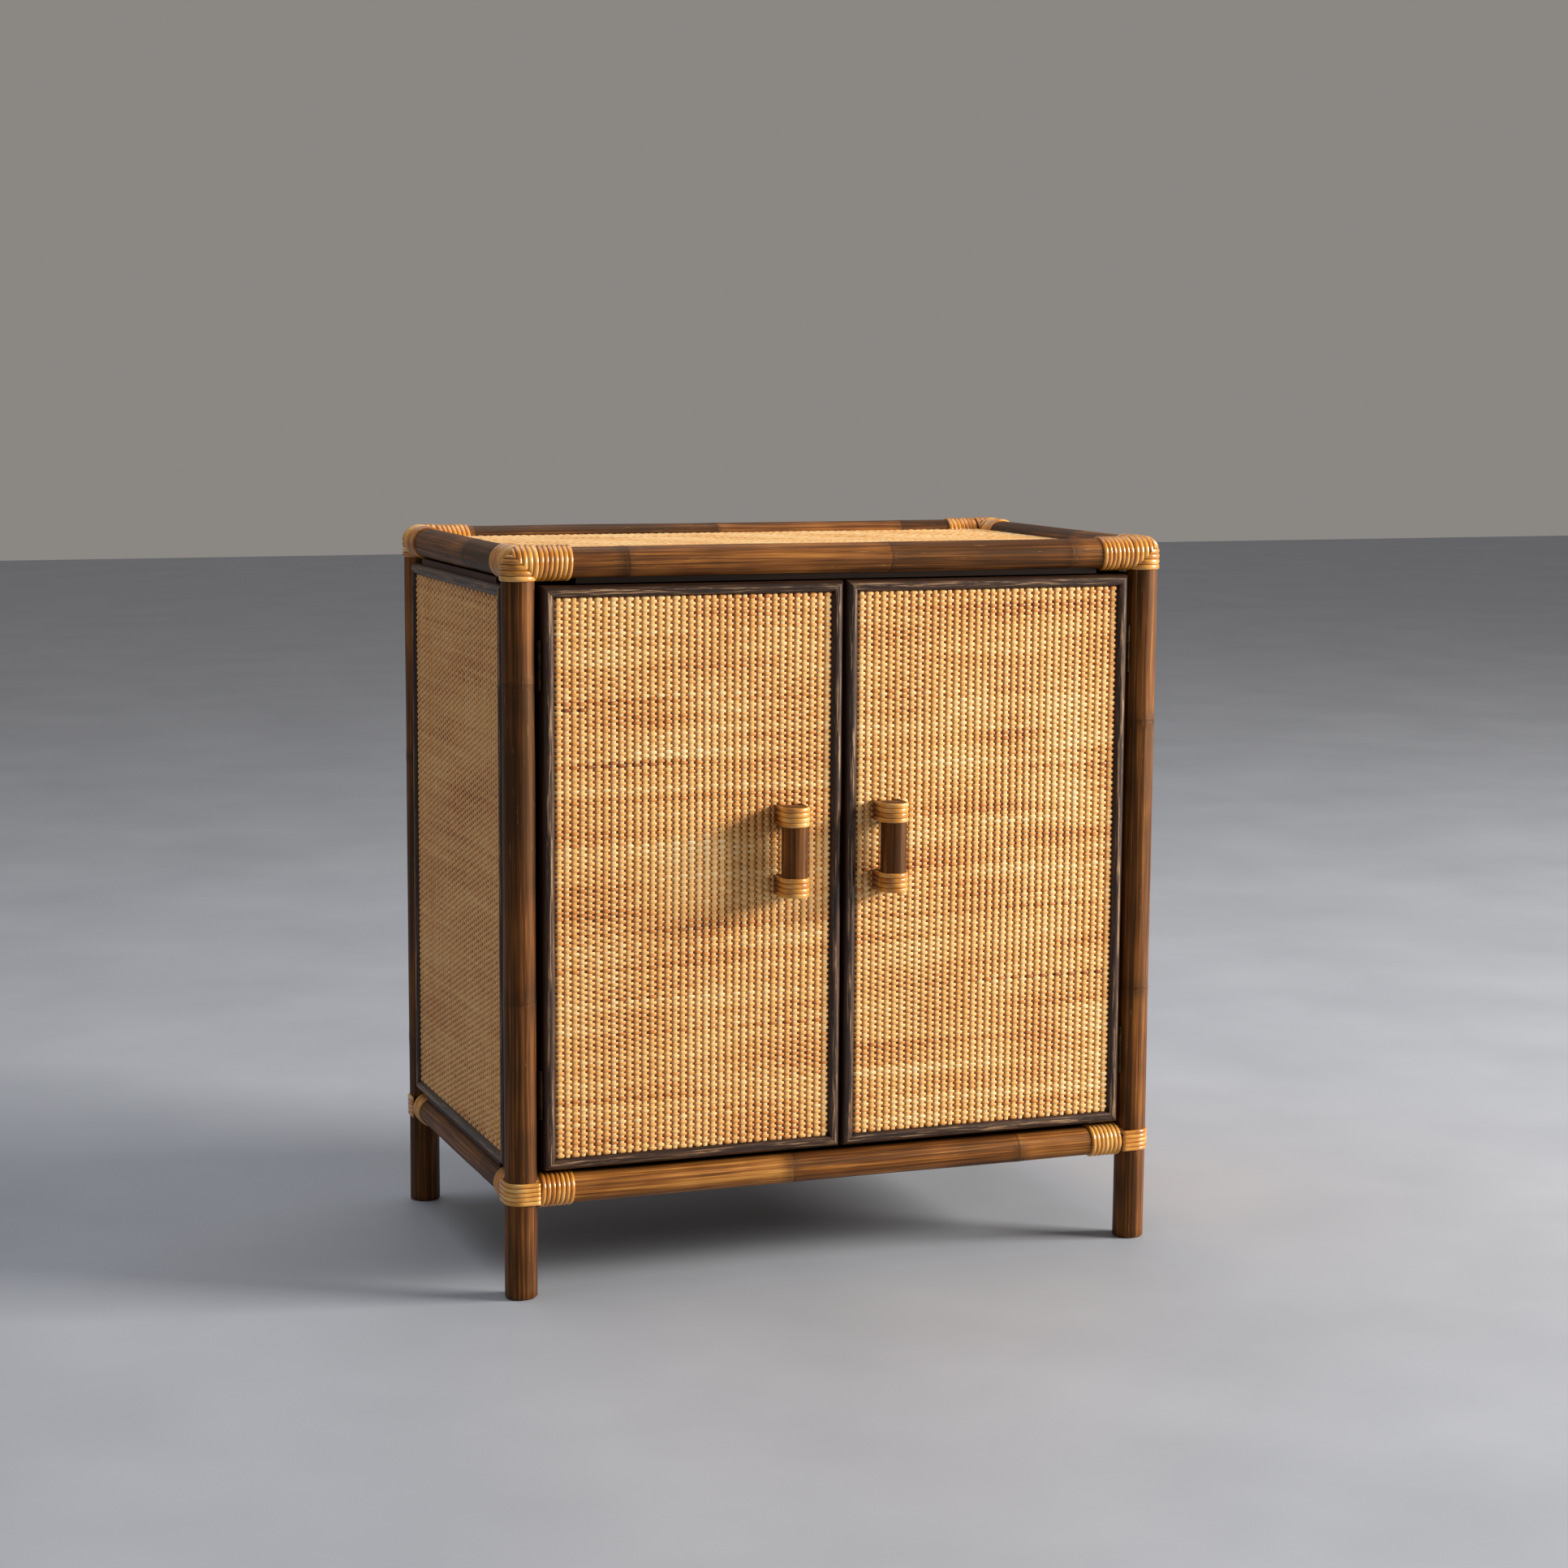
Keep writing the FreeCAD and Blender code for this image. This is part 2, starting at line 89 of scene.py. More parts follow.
BAR_TIPS = BAR_ROUND * np.array([0.1, 0.3, 0.6, 1.0])
BAR_KNOT = 0.12
BAR_SHADES = (0.1, 0.0)
COPE_BLEND = 60 * MM

# Knots read from the front poles, as distances from the pole's left or lower end, and a shade for each
# length between them
SEEN_KNOTS = {
    "leg_front_left": ((311 * MM, 640 * MM), (0.0, -0.2, 0.1)),
    "leg_front_right": ((281 * MM, 580 * MM), (0.2, 0.1, 0.3)),
    "top_rail_front": ((114 * MM, 400 * MM, 610 * MM), (-0.1, 0.4, -0.1, 0.2)),
    # The bottom rail's shades are partly its own tone and partly painted light, raised to stand in for the
    # light on its upper side
    "bottom_rail_front": ((297 * MM, 560 * MM), (1.0, 0.3, 0.6)),
}

# Peel strips: their section, whose foot is a share of the width and whose arch is a power of the sine
STRIP_W = 4.9 * MM
STRIP_H = 2.1 * MM
STRIP_SUNK = 0.8 * MM
STRIP_POINTS = 8
STRIP_FOOT = 0.46
STRIP_ARCH = 0.7
STRIP_SHADES = 0.3

# Turns of strip on the rails
TURN_PITCH = 5.1 * MM
TURN_STEPS = 40
FIRST_TURN = 18.4 * MM
TURN_START = math.radians(-135)
END_TUCK = 1.6 * MM
TUCK_TURN = 0.1
LONG_TURNS = 7
SIDE_TURNS = 5

# Loops nested on the top corners, where the heart is the level and width of the innermost strip
NEST_PITCH = 5.8 * MM
NEST_GAP = 0.2 * MM
NEST_FIRST = -2.8 * MM
NEST_LOOPS = 4
NEST_HEART = (-7.7 * MM, 3.6 * MM)
NEST_STEPS = 20
LEAN_LIMIT = 0.98

# Straps round the legs at the bottom corners, and round the handle bars. The tip is the least share of
# its height that a strip keeps at its end
BAND_STRANDS = 5
BAND_PITCH = 4.7 * MM
BAND_GAP = 0.1 * MM
BAND_RUN = 16.5 * MM
BAND_STEPS = 44
BAND_END = 2.5 * MM
BAND_TIP = 0.02
HANDLE_STRANDS = 4
HANDLE_PITCH = 5.2 * MM
HANDLE_STRIP_H = 1.6 * MM
# Painted shade along the handle straps' runs back into the weave
HANDLE_PAINTED_SHADE = 4.0
HANDLE_SINK = 1.5 * MM

# Woven sheets: flat upright stakes, with wefts over and under them. A weft comes up steeply before a
# stake and goes down gently after it. Its course over one stake and under the next: share of the
# pitch from the stake, height of its middle and width in millimetres. Its flat section is in shares of
# its width across and of its height outwards
STAKE_PITCH = 8.4 * MM
STAKE_W = 4.9 * MM
STAKE_H = 1.5 * MM
STAKE_MID = 1.35 * MM
STAKE_STEPS = 24
STAKE_POINTS = 8
STAKE_SQUARE = 0.5
WEFT_PITCH = 3.1 * MM
WEFT_H = 1.0 * MM
WEFT_CREST = 2.45 * MM
WEFT_DEPTH = 2.1 * MM
OVER_FINE = ((-0.5, 0.95, 3.5), (-0.29, 2.25, 3.8), (-0.14, 2.45, 3.9),
             (0.18, 2.45, 3.9), (0.38, 2.1, 3.8), (0.54, 1.4, 3.5))
OVER_PLAIN = ((-0.5, 1.0, 3.5), (-0.22, 2.45, 3.8), (0.24, 2.45, 3.8), (0.54, 1.4, 3.5))
UNDER = ((-0.27, 0.3, 2.6), (0.27, 0.3, 2.6))
WEFT_ACROSS = np.array([-0.5, -0.3, 0.3, 0.5])
WEFT_OUT = np.array([-0.3, 0.5, 0.5, -0.3])
LOOSE_LIFT = 0.06 * MM
LOOSE_WIDTH = 0.07
ROW_STRAY = 0.1 * MM
WEAVE_TUCK = 1.0 * MM
TOP_INSET = 2.2 * MM

# Slow drift of the strands: its size, the waves of its sine and cosine across and up the sheet in
# radians per metre, and the power that fades it at the edges
WEAVE_WANDER = 1.0 * MM
WANDER_SINE = (15, 9)
WANDER_START = 1.0
WANDER_COSINE = (-6, 8)
EDGE_FADE = 8

# Shades of the weave: strands that meet in a row, slow patches, bands along the rows, and lone strands
# whose half length is in millimetres. Joints and lone strands lie within so far of a sheet's middle
STRAND_SHADES = 0.14
STRAND_JOINTS = 0.4
PATCH_SHADE = 0.1
PATCH_REACH = 120 * MM
BANDING_SHADE = 0.1
BANDING_REACH = 22 * MM
BANDING_STRETCH = 0.08
LONE_SHARE = 0.14
LONE_PLACES = 0.3
LONE_HALF = (40, 180)
LONE_SHADES = (-0.45, 0.35)
# Painted shade: the step of tone by which strands darken where they lie deep in the weave
RECESS_PAINTED_SHADE = 1.0
STAKE_SHADE = 0.25
STAKE_SHADES = 0.15
# Painted light: the top's strands are paler by this step, standing in for the light falling on the top
# from above
TOP_PAINTED_LIGHT = 0.15
DOOR_MOTTLE = 1.0
SIDE_MOTTLE = 0.4

# Streaks seen on the doors: place across and up, half length, half height, shade
SEEN_STREAKS = {
    "left_door": ((-133 * MM, 176 * MM, 16 * MM, 2 * MM, -0.9),
                  (-66 * MM, 118 * MM, 84 * MM, 2.4 * MM, -0.8),
                  (-100 * MM, -38 * MM, 56 * MM, 9 * MM, -0.4),
                  (41 * MM, 169 * MM, 20 * MM, 3 * MM, 0.5)),
    "right_door": ((33 * MM, 143 * MM, 46 * MM, 3 * MM, 0.5),
                   (33 * MM, 40 * MM, 46 * MM, 3 * MM, 0.5),
                   (-30 * MM, 270 * MM, 150 * MM, 8 * MM, -0.3)),
}

# Half-round beads, with waves in radians per metre and a random start within so many radians
BEAD_STEPS = 60
BEAD_POINTS = 12
BEAD_UNEVEN = 0.12 * MM
BEAD_WAVES = (41, 17)
BEAD_START = 6
BEAD_SHADES = 0.3


def corners_of(node):
    """The lowest and highest corner of a CAD node, as arrays."""
    low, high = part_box(node)
    return np.array(low), np.array(high)


def upright(node):
    """The foot, length and radius of an upright round node."""
    low, high = corners_of(node)
    middle = (low + high) / 2
    return np.array([middle[0], middle[1], low[2]]), high[2] - low[2], (high[0] - low[0]) / 2


def drift(u, v, reach):
    """A smooth random field: the sum of sines in random directions, with wavelengths near reach."""
    heading = rng.uniform(0, 2 * np.pi, DRIFT_WAVES)
    pull = 2 * np.pi / (reach * rng.uniform(*DRIFT_SPREAD, DRIFT_WAVES))
    phase = rng.uniform(0, 2 * np.pi, DRIFT_WAVES)
    u, v = np.broadcast_arrays(u, v)
    ways = pull * (np.cos(heading) * u[..., None] + np.sin(heading) * v[..., None]) + phase
    return np.sin(ways).sum(axis=-1) * math.sqrt(2 / DRIFT_WAVES)


def smooth_step(share):
    """Eases from 0 to 1: 3 s^2 - 2 s^3 of the clipped share."""
    s = np.clip(share, 0, 1)
    return s * s * (3 - 2 * s)


# Meshes

def skin_piece(name, node, body, finish, skins):
    """One piece made of outlines carried along paths.

    A skin is (rings, marks): rings[path, step, point] are closed outlines, and marks are the values
    kept at their points. Outlines that follow each other are joined by four-sided faces. The first and
    last outline of a path are filled, so each path is a closed body. The faces are turned over where
    the sum of their normals along the outlines' radii comes out negative. The map lays each path out
    as a straight band, with the bands side by side.
    """
    bands = sum(len(rings) for rings, _ in skins)
    first = band = 0
    points, corners, sizes, maps = [], [], [], []
    for rings, _ in skins:
        paths, steps, sides = rings.shape[:3]
        index = first + np.arange(paths * steps * sides).reshape(paths, steps, sides)
        ahead = np.roll(index, -1, axis=2)
        faces = np.stack([index[:, :-1], ahead[:, :-1], ahead[:, 1:], index[:, 1:]], axis=-1)
        along = np.linspace(0, 1, steps)
        sheet = np.broadcast_to(band + np.arange(paths)[:, None, None, None], faces.shape)
        round_share = (np.arange(sides)[:, None] + np.array([0, 1, 1, 0])) / sides
        path_share = np.stack([along[:-1], along[:-1], along[1:], along[1:]], axis=-1)[:, None, :]
        band_share = (sheet + MAP_MARGIN + (1 - 2 * MAP_MARGIN) * round_share) / bands
        face_map = np.stack([np.broadcast_to(path_share, faces.shape), band_share], axis=-1)
        centre = rings.mean(axis=2, keepdims=True)
        edge_a = np.roll(rings, -1, axis=2)[:, :-1] - rings[:, :-1]
        edge_b = rings[:, 1:] - rings[:, :-1]
        facing = (np.cross(edge_a, edge_b) * (rings - centre)[:, :-1]).sum()
        fills = np.concatenate([index[:, 0, ::-1], index[:, -1]])
        ends = np.repeat([0.0, 1.0], paths)[:, None] + np.zeros(sides)
        bands_of = np.tile(band + np.arange(paths), 2)[:, None] + np.arange(sides) / sides
        fill_map = np.stack([ends, (bands_of + MAP_MARGIN) / bands], axis=-1)
        if facing < 0:
            faces, face_map, fills = faces[..., ::-1], face_map[..., ::-1, :], fills[:, ::-1]
        points.append(rings.reshape(-1, 3))
        corners += [faces.ravel(), fills.ravel()]
        sizes += [np.full(faces.size // 4, 4), np.full(len(fills), sides)]
        maps += [face_map.reshape(-1, 2), fill_map.reshape(-1, 2)]
        first += rings.size // 3
        band += paths

    points, corners = np.concatenate(points), np.concatenate(corners)
    sizes, maps = np.concatenate(sizes), np.concatenate(maps)
    mesh = bpy.data.meshes.new(name)
    mesh.vertices.add(len(points))
    mesh.vertices.foreach_set("co", points.ravel())
    mesh.loops.add(len(corners))
    mesh.loops.foreach_set("vertex_index", corners.astype(np.int32))
    mesh.polygons.add(len(sizes))
    mesh.polygons.foreach_set("loop_start", (np.cumsum(sizes) - sizes).astype(np.int32))
    mesh.update(calc_edges=True)
    mesh.uv_layers.new(name="OFBake").uv.foreach_set("vector", maps.ravel())
    for mark in skins[0][1]:
        values = np.concatenate([marks[mark].ravel() for _, marks in skins])
        wide = len(values) > len(points)
        kind, field = ("FLOAT_VECTOR", "vector") if wide else ("FLOAT", "value")
        mesh.attributes.new(mark, kind, "POINT").data.foreach_set(field, values)
    mesh.set_sharp_from_angle(angle=SHARP_ANGLE)
    mesh.materials.append(finish)

    piece = bpy.data.objects.new(name, mesh)
    bpy.context.scene.collection.objects.link(piece)
    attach(piece, body)
    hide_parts(node)


# Poles

def grown_knots(length):
    """Knots at random spacings along a pole, and a shade for each length between them."""
    spacing = rng.uniform(*KNOT_SPACING, int(length / KNOT_SPACING[0]) + 1)
    places = np.cumsum(spacing) - spacing[0] * rng.uniform(*FIRST_KNOT)
    places = places[places < length - KNOT_FREE_END]
    return places, rng.uniform(-GROWTH_SHADES, GROWTH_SHADES, len(places) + 1)


def knots_for(node, length):
    """The knots seen on a pole, or random ones."""
    return SEEN_KNOTS[node] if node in SEEN_KNOTS else grown_knots(length)


def cane_pole(start, end, radius, knots, shades, thin=None, extra=(), cope_r=0.0):
    """A cane pole: circles carried along a straight line.

    The radius rises by a bell curve at each knot, which slants a little, and dips by a narrow one at
    the knot's middle. Two slow sines make it a little uneven. thin gives the share of the radius left
    near the ends, and extra gives more places for circles. With cope_r the ends hug an upright pole of
    that radius: they start at the root of cope_r^2 - sideways^2.
    """
    length = np.linalg.norm(end - start)
    along = (end - start) / length
    side = X if abs(along @ Z) > 0.5 else np.cross(Z, along)
    up = np.cross(along, side)
    knots = np.asarray(knots)
    even = np.linspace(0, length, int(length / POLE_STEP) + 2)
    walk = np.unique(np.concatenate([even, (knots[:, None] + KNOT_STEPS).ravel(), extra]))[:, None]
    angle = np.linspace(0, 2 * np.pi, POLE_SIDES, endpoint=False)
    slant = KNOT_SLANT * np.cos(angle[:, None] - rng.uniform(0, 2 * np.pi, len(knots)))
    apart = walk[..., None] - knots - slant
    rise = (KNOT_SWELL * np.exp(-(apart / KNOT_REACH) ** 2)
            - KNOT_GROOVE * np.exp(-(apart / GROOVE_REACH) ** 2)).sum(axis=-1)
    phase = rng.uniform(0, 2 * np.pi, 2)
    waves = (np.sin(2 * angle + POLE_WAVES[0] * walk + phase[0])
             + np.sin(angle - POLE_WAVES[1] * walk + phase[1]))
    reach = (radius + rise + POLE_UNEVEN * (waves - 1)) * (thin(walk, length) if thin else 1)
    sideways, upward = reach * np.cos(angle), reach * np.sin(angle)
    cope = np.sqrt(np.maximum(cope_r ** 2 - sideways ** 2, 0))
    near_ends = smooth_step(1 - walk / COPE_BLEND) - smooth_step(1 - (length - walk) / COPE_BLEND)
    place = walk + cope * near_ends
    rings = start + place[..., None] * along + sideways[..., None] * side + upward[..., None] * up
    shade = np.asarray(shades)[np.searchsorted(knots, walk[:, 0])][:, None]
    grain = np.stack([np.broadcast_to(walk, sideways.shape), sideways, upward], axis=-1)
    grain = grain + rng.uniform(0, GRAIN_REACH, 3)
    marks = {"grain": grain[None], "tone": np.broadcast_to(shade, sideways.shape)[None],
             "knot": np.abs(apart).min(axis=-1)[None]}
    return rings[None], marks


def leg_skin(node):
    """A leg: a pole with a small chamfer at the foot and a domed crown, a quarter circle in section."""
    foot, length, radius = upright(node)

    def thin(walk, length):
        crown = np.clip((walk - (length - radius)) / radius, 0, CROWN_TIP)
        chamfer = np.clip(1 - walk / FOOT_CHAMFER, 0, 1) * FOOT_CHAMFER / radius
        return np.sqrt(1 - crown ** 2) * (1 - chamfer)

    dome = length - radius + radius * np.sin(np.linspace(0, np.pi / 2, CROWN_STEPS))
    knots, shades = knots_for(node, length)
    return cane_pole(foot, foot + Z * length, radius, knots, shades, thin, np.append(dome, FOOT_CHAMFER))


def rail_skin(node, end_a, end_b, cope_r):
    """A rail: a pole from leg to leg, its ends hollowed to hug the legs."""
    low, high = corners_of(node)
    radius = (high[2] - low[2]) / 2
    height = (low[2] + high[2]) / 2
    start = np.array([end_a[0], end_a[1], height])
    end = np.array([end_b[0], end_b[1], height])
    knots, shades = knots_for(node, np.linalg.norm(end - start))
    return cane_pole(start, end, radius, knots, shades, cope_r=cope_r)


def bar_skin(node):
    """A handle bar: a short pole with rounded ends, quarter circles in section."""
    foot, length, radius = upright(node)

    def thin(walk, length):
        inset = np.clip(1 - np.minimum(walk, length - walk) / BAR_ROUND, 0, 1)
        return 1 - (1 - np.sqrt(1 - inset ** 2)) * BAR_ROUND / radius

    tips = np.concatenate([BAR_TIPS, length - BAR_TIPS])
    return cane_pole(foot, foot + Z * length, radius, [length * BAR_KNOT], BAR_SHADES, thin, tips)


# Bindings

def strip_outline(width=STRIP_W, height=STRIP_H):
    """A peel strip in section: an arch, cosine across and a power of sine outwards, closed underneath."""
    angle = np.linspace(0, np.pi, STRIP_POINTS)
    across = width * np.append(np.cos(angle) / 2, [-STRIP_FOOT, STRIP_FOOT])
    out = np.append(height * np.abs(np.sin(angle)) ** STRIP_ARCH, [-STRIP_SUNK, -STRIP_SUNK])
    return across, out


def strip_marks(rings, along, across):
    """Grain runs along a strip; each strip has its own shade and its own stretch of grain."""
    paths = len(rings)
    own = rng.uniform(0, GRAIN_REACH, (paths, 1, 1))
    shape = rings.shape[:3]
    grain = np.stack([np.broadcast_to(along + own, shape), np.broadcast_to(across, shape),
                      np.broadcast_to(own, shape)], axis=-1)
    return {"grain": grain, "tone": np.broadcast_to(rng.normal(0, STRIP_SHADES, (paths, 1, 1)), shape)}


def winding(radius, turns):
    """Turns of strip on a rail: a helix along the rail, whose two ends dip under the pole's face.

    In corner coordinates (outwards along the rail, outwards across it, up).
    """
    across, out = strip_outline()
    turn = np.linspace(0, turns, turns * TURN_STEPS + 1)[:, None]
    angle = TURN_START + 2 * np.pi * turn
    tuck = END_TUCK * (1 - smooth_step(np.minimum(turn, turns - turn) / TUCK_TURN))
    reach = radius + out - tuck
    level = FIRST_TURN + TURN_PITCH * turn + across
    rings = np.stack([-level, reach * np.cos(angle), reach * np.sin(angle)], axis=-1)[None]
    return rings, strip_marks(rings, radius * angle, across)


def corner_nest(radius):
    """Loops of strip nested round the outer point of a top corner.

    Each loop is three arcs, one round each pole, that keep one level along that pole. A level below
    zero lies beyond the poles' crossing, so its arc shrinks as a circle on a ball of that radius. Each
    line of the outline runs from one mitre plane to the next: the arcs lean by the arcsine of level
    over reach.
    """
    across, out = strip_outline(1, STRIP_H)
    centres = np.append(NEST_FIRST + NEST_PITCH * np.arange(NEST_LOOPS), NEST_HEART[0])
    widths = np.append(np.full(NEST_LOOPS, NEST_PITCH - NEST_GAP), NEST_HEART[1])
    level = (centres[:, None] + widths[:, None] * across)[:, None, :]
    ball = radius + out
    reach = np.sqrt(ball ** 2 - np.minimum(level, 0) ** 2)
    lean = np.maximum(np.arcsin(np.clip(level / reach, -LEAN_LIMIT, LEAN_LIMIT)), -np.pi / 4)
    share = np.linspace(0, 1, NEST_STEPS)[:, None]
    angle = -lean + share * (np.pi / 2 + 2 * lean)
    arc = np.stack(np.broadcast_arrays(-level, reach * np.cos(angle), reach * np.sin(angle)), axis=-1)
    rings = np.concatenate([arc, np.roll(arc, 1, axis=-1), np.roll(arc, 2, axis=-1)])
    along = np.tile(radius * angle, (3, 1, 1))
    return rings, strip_marks(rings, along, np.tile(widths, 3)[:, None, None] * across)


def strap(radius, strands, pitch, sweep, run, thick=STRIP_H, fade=0.0):
    """Parallel strips round a pole: a straight run, an arc through sweep, and a straight run again.

    The walked length splits into the part turned, clipped to the arc, and the part beyond it, which
    goes off along the tangent. The strips thin to nothing at their ends, and darken along the runs by
    fade: a painted shade on the runs that go back from the bar into the weave.
    """
    across, out = strip_outline(pitch - BAND_GAP, thick)
    total = 2 * run + radius * sweep
    walk = np.linspace(0, total, BAND_STEPS)[:, None]
    turned = np.clip(walk - run, 0, radius * sweep)
    angle = turned / radius
    beyond = walk - run - turned
    thin = np.sqrt(np.clip(np.minimum(walk, total - walk) / BAND_END, BAND_TIP, 1))
    reach = radius + out * thin
    level = (np.arange(strands) - (strands - 1) / 2)[:, None, None] * pitch + across
    forward = reach * np.cos(angle) - beyond * np.sin(angle)
    sideways = reach * np.sin(angle) + beyond * np.cos(angle)
    rings = np.stack(np.broadcast_arrays(forward, sideways, level), axis=-1)
    marks = strip_marks(rings, walk, across)
    # Painted shade: the runs darken the further they reach from the bar towards the weave
    marks["tone"] = marks["tone"] - fade * np.abs(beyond) / run
    return rings, marks


def moved(skin, origin, axis_a, axis_b, axis_c):
    """A skin given along three axes, put into its place."""
    rings, marks = skin
    return origin + rings @ np.array([axis_a, axis_b, axis_c]), marks


def corner_binding(origin, side_x, side_y, leg_r, rail_r, top):
    """All strips of one corner: windings on both rails, and between them a nest, or a strap lower down."""
    out_x, out_y = X * side_x, Y * side_y
    skins = [moved(winding(rail_r, LONG_TURNS), origin, out_x, out_y, Z),
             moved(winding(rail_r, SIDE_TURNS), origin, out_y, out_x, Z)]
    if top:
        round_leg = corner_nest(leg_r)
    else:
        round_leg = strap(leg_r, BAND_STRANDS, BAND_PITCH, np.pi / 2, BAND_RUN)
    return skins + [moved(round_leg, origin, out_x, out_y, Z)]


# Panels, each on three axes: across, up and out of its sheet

def panel_place(node, across, up, out):
    """A flat node's middle at its back, its width and its height."""
    low, high = corners_of(node)
    size = high - low
    back = (low + high) / 2 - out * abs(size @ out) / 2
    return back, abs(size @ across), abs(size @ up)


def wander(u, v, width, height):
    """How far a strand strays at a place: a sine times a cosine, faded out at the edges by a power."""
    fade = (1 - (2 * u / width) ** EDGE_FADE) * (1 - (2 * v / height) ** EDGE_FADE)
    sine = np.sin(WANDER_SINE[0] * u + WANDER_SINE[1] * v + WANDER_START)
    return WEAVE_WANDER * fade * sine * np.cos(WANDER_COSINE[0] * u + WANDER_COSINE[1] * v)


def weft_tones(u, v, rows, streaks):
    """Shades of the wefts: each row has two strands that meet at a random place. Slow patches and bands
    lie over them, and dark or pale streaks, each a bell flattened by a fourth power."""
    joint = rng.uniform(-STRAND_JOINTS, STRAND_JOINTS, (rows, 1))
    strand = rng.normal(0, STRAND_SHADES, (2, rows, 1))
    tone = np.where(u < joint, strand[0], strand[1])
    tone = tone + PATCH_SHADE * drift(u, v, PATCH_REACH)
    tone = tone + BANDING_SHADE * drift(u * BANDING_STRETCH, v, BANDING_REACH)
    lone = rng.random((rows, 1)) < LONE_SHARE
    middle = rng.uniform(-LONE_PLACES, LONE_PLACES, (rows, 1))
    half = rng.uniform(*LONE_HALF, (rows, 1)) * MM
    depth = rng.uniform(*LONE_SHADES, (rows, 1))
    tone = tone + lone * depth * np.exp(-((u - middle) / half) ** 4)
    for u0, v0, half_u, half_v, shade in streaks:
        tone = tone + shade * np.exp(-((u - u0) / half_u) ** 4 - ((v - v0) / half_v) ** 4)
    return tone


def weft_course(columns, pitch, over):
    """Even and odd rows' places along the weft, heights and widths: over one stake and under the next,
    the odd rows one stake later, with both ends run on under the bead."""
    over, under = np.array(over), np.array(UNDER)
    step = np.array([1.0, 0.0, 0.0])
    pairs = np.array([np.concatenate([over, under + step]), np.concatenate([under, over + step])])
    repeat = np.arange(0, columns, 2)[:, None, None] * step
    course = (pairs[:, None] + repeat).reshape(2, -1, 3)
    ends = course[:, [0, -1]].copy()
    ends[:, :, 0] = np.array([-0.5, columns - 0.5]) + np.array([-1, 1]) * WEAVE_TUCK / pitch
    course = np.concatenate([ends[:, :1], course, ends[:, 1:]], axis=1)
    return (course[..., 0] + 0.5 - columns / 2) * pitch, course[..., 1] * MM, course[..., 2] * MM


def weft_skin(sheet, axes, columns, rows, over, mottle, shade, streaks):
    """The wefts: flat outlines carried along their course over and under the stakes.

    A strand's lift and width vary a little at each stake, and its row strays and wanders. mottle is the
    strength of the shades, shade is added to all of them, and strands are darkened deep in the weave by
    a painted shade in the recesses.
    """
    back, width, height = sheet
    across, up, out = axes
    pitch, row_pitch = width / columns, height / rows
    parity = np.arange(rows) % 2
    u, lift, broad = (values[parity] for values in weft_course(columns, pitch, over))
    v = ((np.arange(rows) + 0.5) * row_pitch - height / 2)[:, None]
    cell = np.clip(((u + width / 2) / pitch).astype(int), 0, columns - 1)
    loose = np.take_along_axis(rng.normal(0, 1, (rows, columns)), cell, axis=1)
    deep = np.clip((WEFT_CREST - lift) / WEFT_DEPTH, 0, 1)
    lift = lift + LOOSE_LIFT * loose * (1 - deep) - LOOSE_LIFT
    broad = broad * (1 + LOOSE_WIDTH * loose)
    row = v + wander(np.clip(u, -width / 2, width / 2), v, width, height)
    row = row + rng.normal(0, ROW_STRAY, (rows, 1))
    # The tone falls with depth in the weave: painted shade in the recesses between the strands
    tone = shade + mottle * weft_tones(u, v, rows, streaks) - RECESS_PAINTED_SHADE * deep
    own = rng.uniform(0, GRAIN_REACH, (rows, 1))
    flat = broad[..., None] * WEFT_ACROSS
    spread = row[..., None] + flat
    raised = lift[..., None] + WEFT_H * WEFT_OUT
    rings = back + u[..., None, None] * across + spread[..., None] * up + raised[..., None] * out
    grain = np.stack(np.broadcast_arrays((u + own)[..., None], flat, own[..., None]), axis=-1)
    return rings, {"grain": grain, "tone": np.broadcast_to(tone[..., None], rings.shape[:3])}


def stake_skin(sheet, axes, columns, shade):
    """The stakes: flat ovals, a root of cosine across and a sine outwards, carried up the sheet."""
    back, width, height = sheet
    across, up, out = axes
    v = np.linspace(-height / 2 - WEAVE_TUCK, height / 2 + WEAVE_TUCK, STAKE_STEPS)
    u = ((np.arange(columns) + 0.5) * (width / columns) - width / 2)[:, None]
    angle = np.linspace(0, 2 * np.pi, STAKE_POINTS, endpoint=False) + np.pi / STAKE_POINTS
    flat = STAKE_W / 2 * np.sign(np.cos(angle)) * np.abs(np.cos(angle)) ** STAKE_SQUARE
    thick = STAKE_MID + STAKE_H / 2 * np.sin(angle)
    place = (u + wander(u, np.clip(v, -height / 2, height / 2), width, height))[..., None] + flat
    rings = back + place[..., None] * across + v[:, None, None] * up + thick[:, None] * out
    own = rng.uniform(0, GRAIN_REACH, (columns, 1, 1))
    grain = np.stack(np.broadcast_arrays(v[:, None] + own, flat, own), axis=-1)
    tone = rng.normal(STAKE_SHADE + shade, STAKE_SHADES, (columns, 1, 1))
    return rings, {"grain": grain, "tone": np.broadcast_to(tone, grain.shape[:3])}


def woven_panel(name, node, body, axes, over, finish, mottle, shade=0.0, streaks=(), inset=0.0):
    """A close plain weave of strands, inset from its node's edges, with the wefts in two halves."""
    back, width, height = panel_place(node, *axes)
    width, height = width - 2 * inset, height - 2 * inset
    columns, rows = 2 * round(width / STAKE_PITCH / 2), round(height / WEFT_PITCH)
    sheet = (back, width, height)
    rings, marks = weft_skin(sheet, axes, columns, rows, over, mottle, shade, streaks)
    for tag, chosen in (("lower", slice(0, rows // 2)), ("upper", slice(rows // 2, rows))):
        half = (rings[chosen], {mark: values[chosen] for mark, values in marks.items()})
        skin_piece("%s_wefts_%s" % (name, tag), node, body, finish, [half])
    stakes = stake_skin(sheet, axes, columns, shade)
    skin_piece(name + "_stakes", node, body, finish, [stakes])


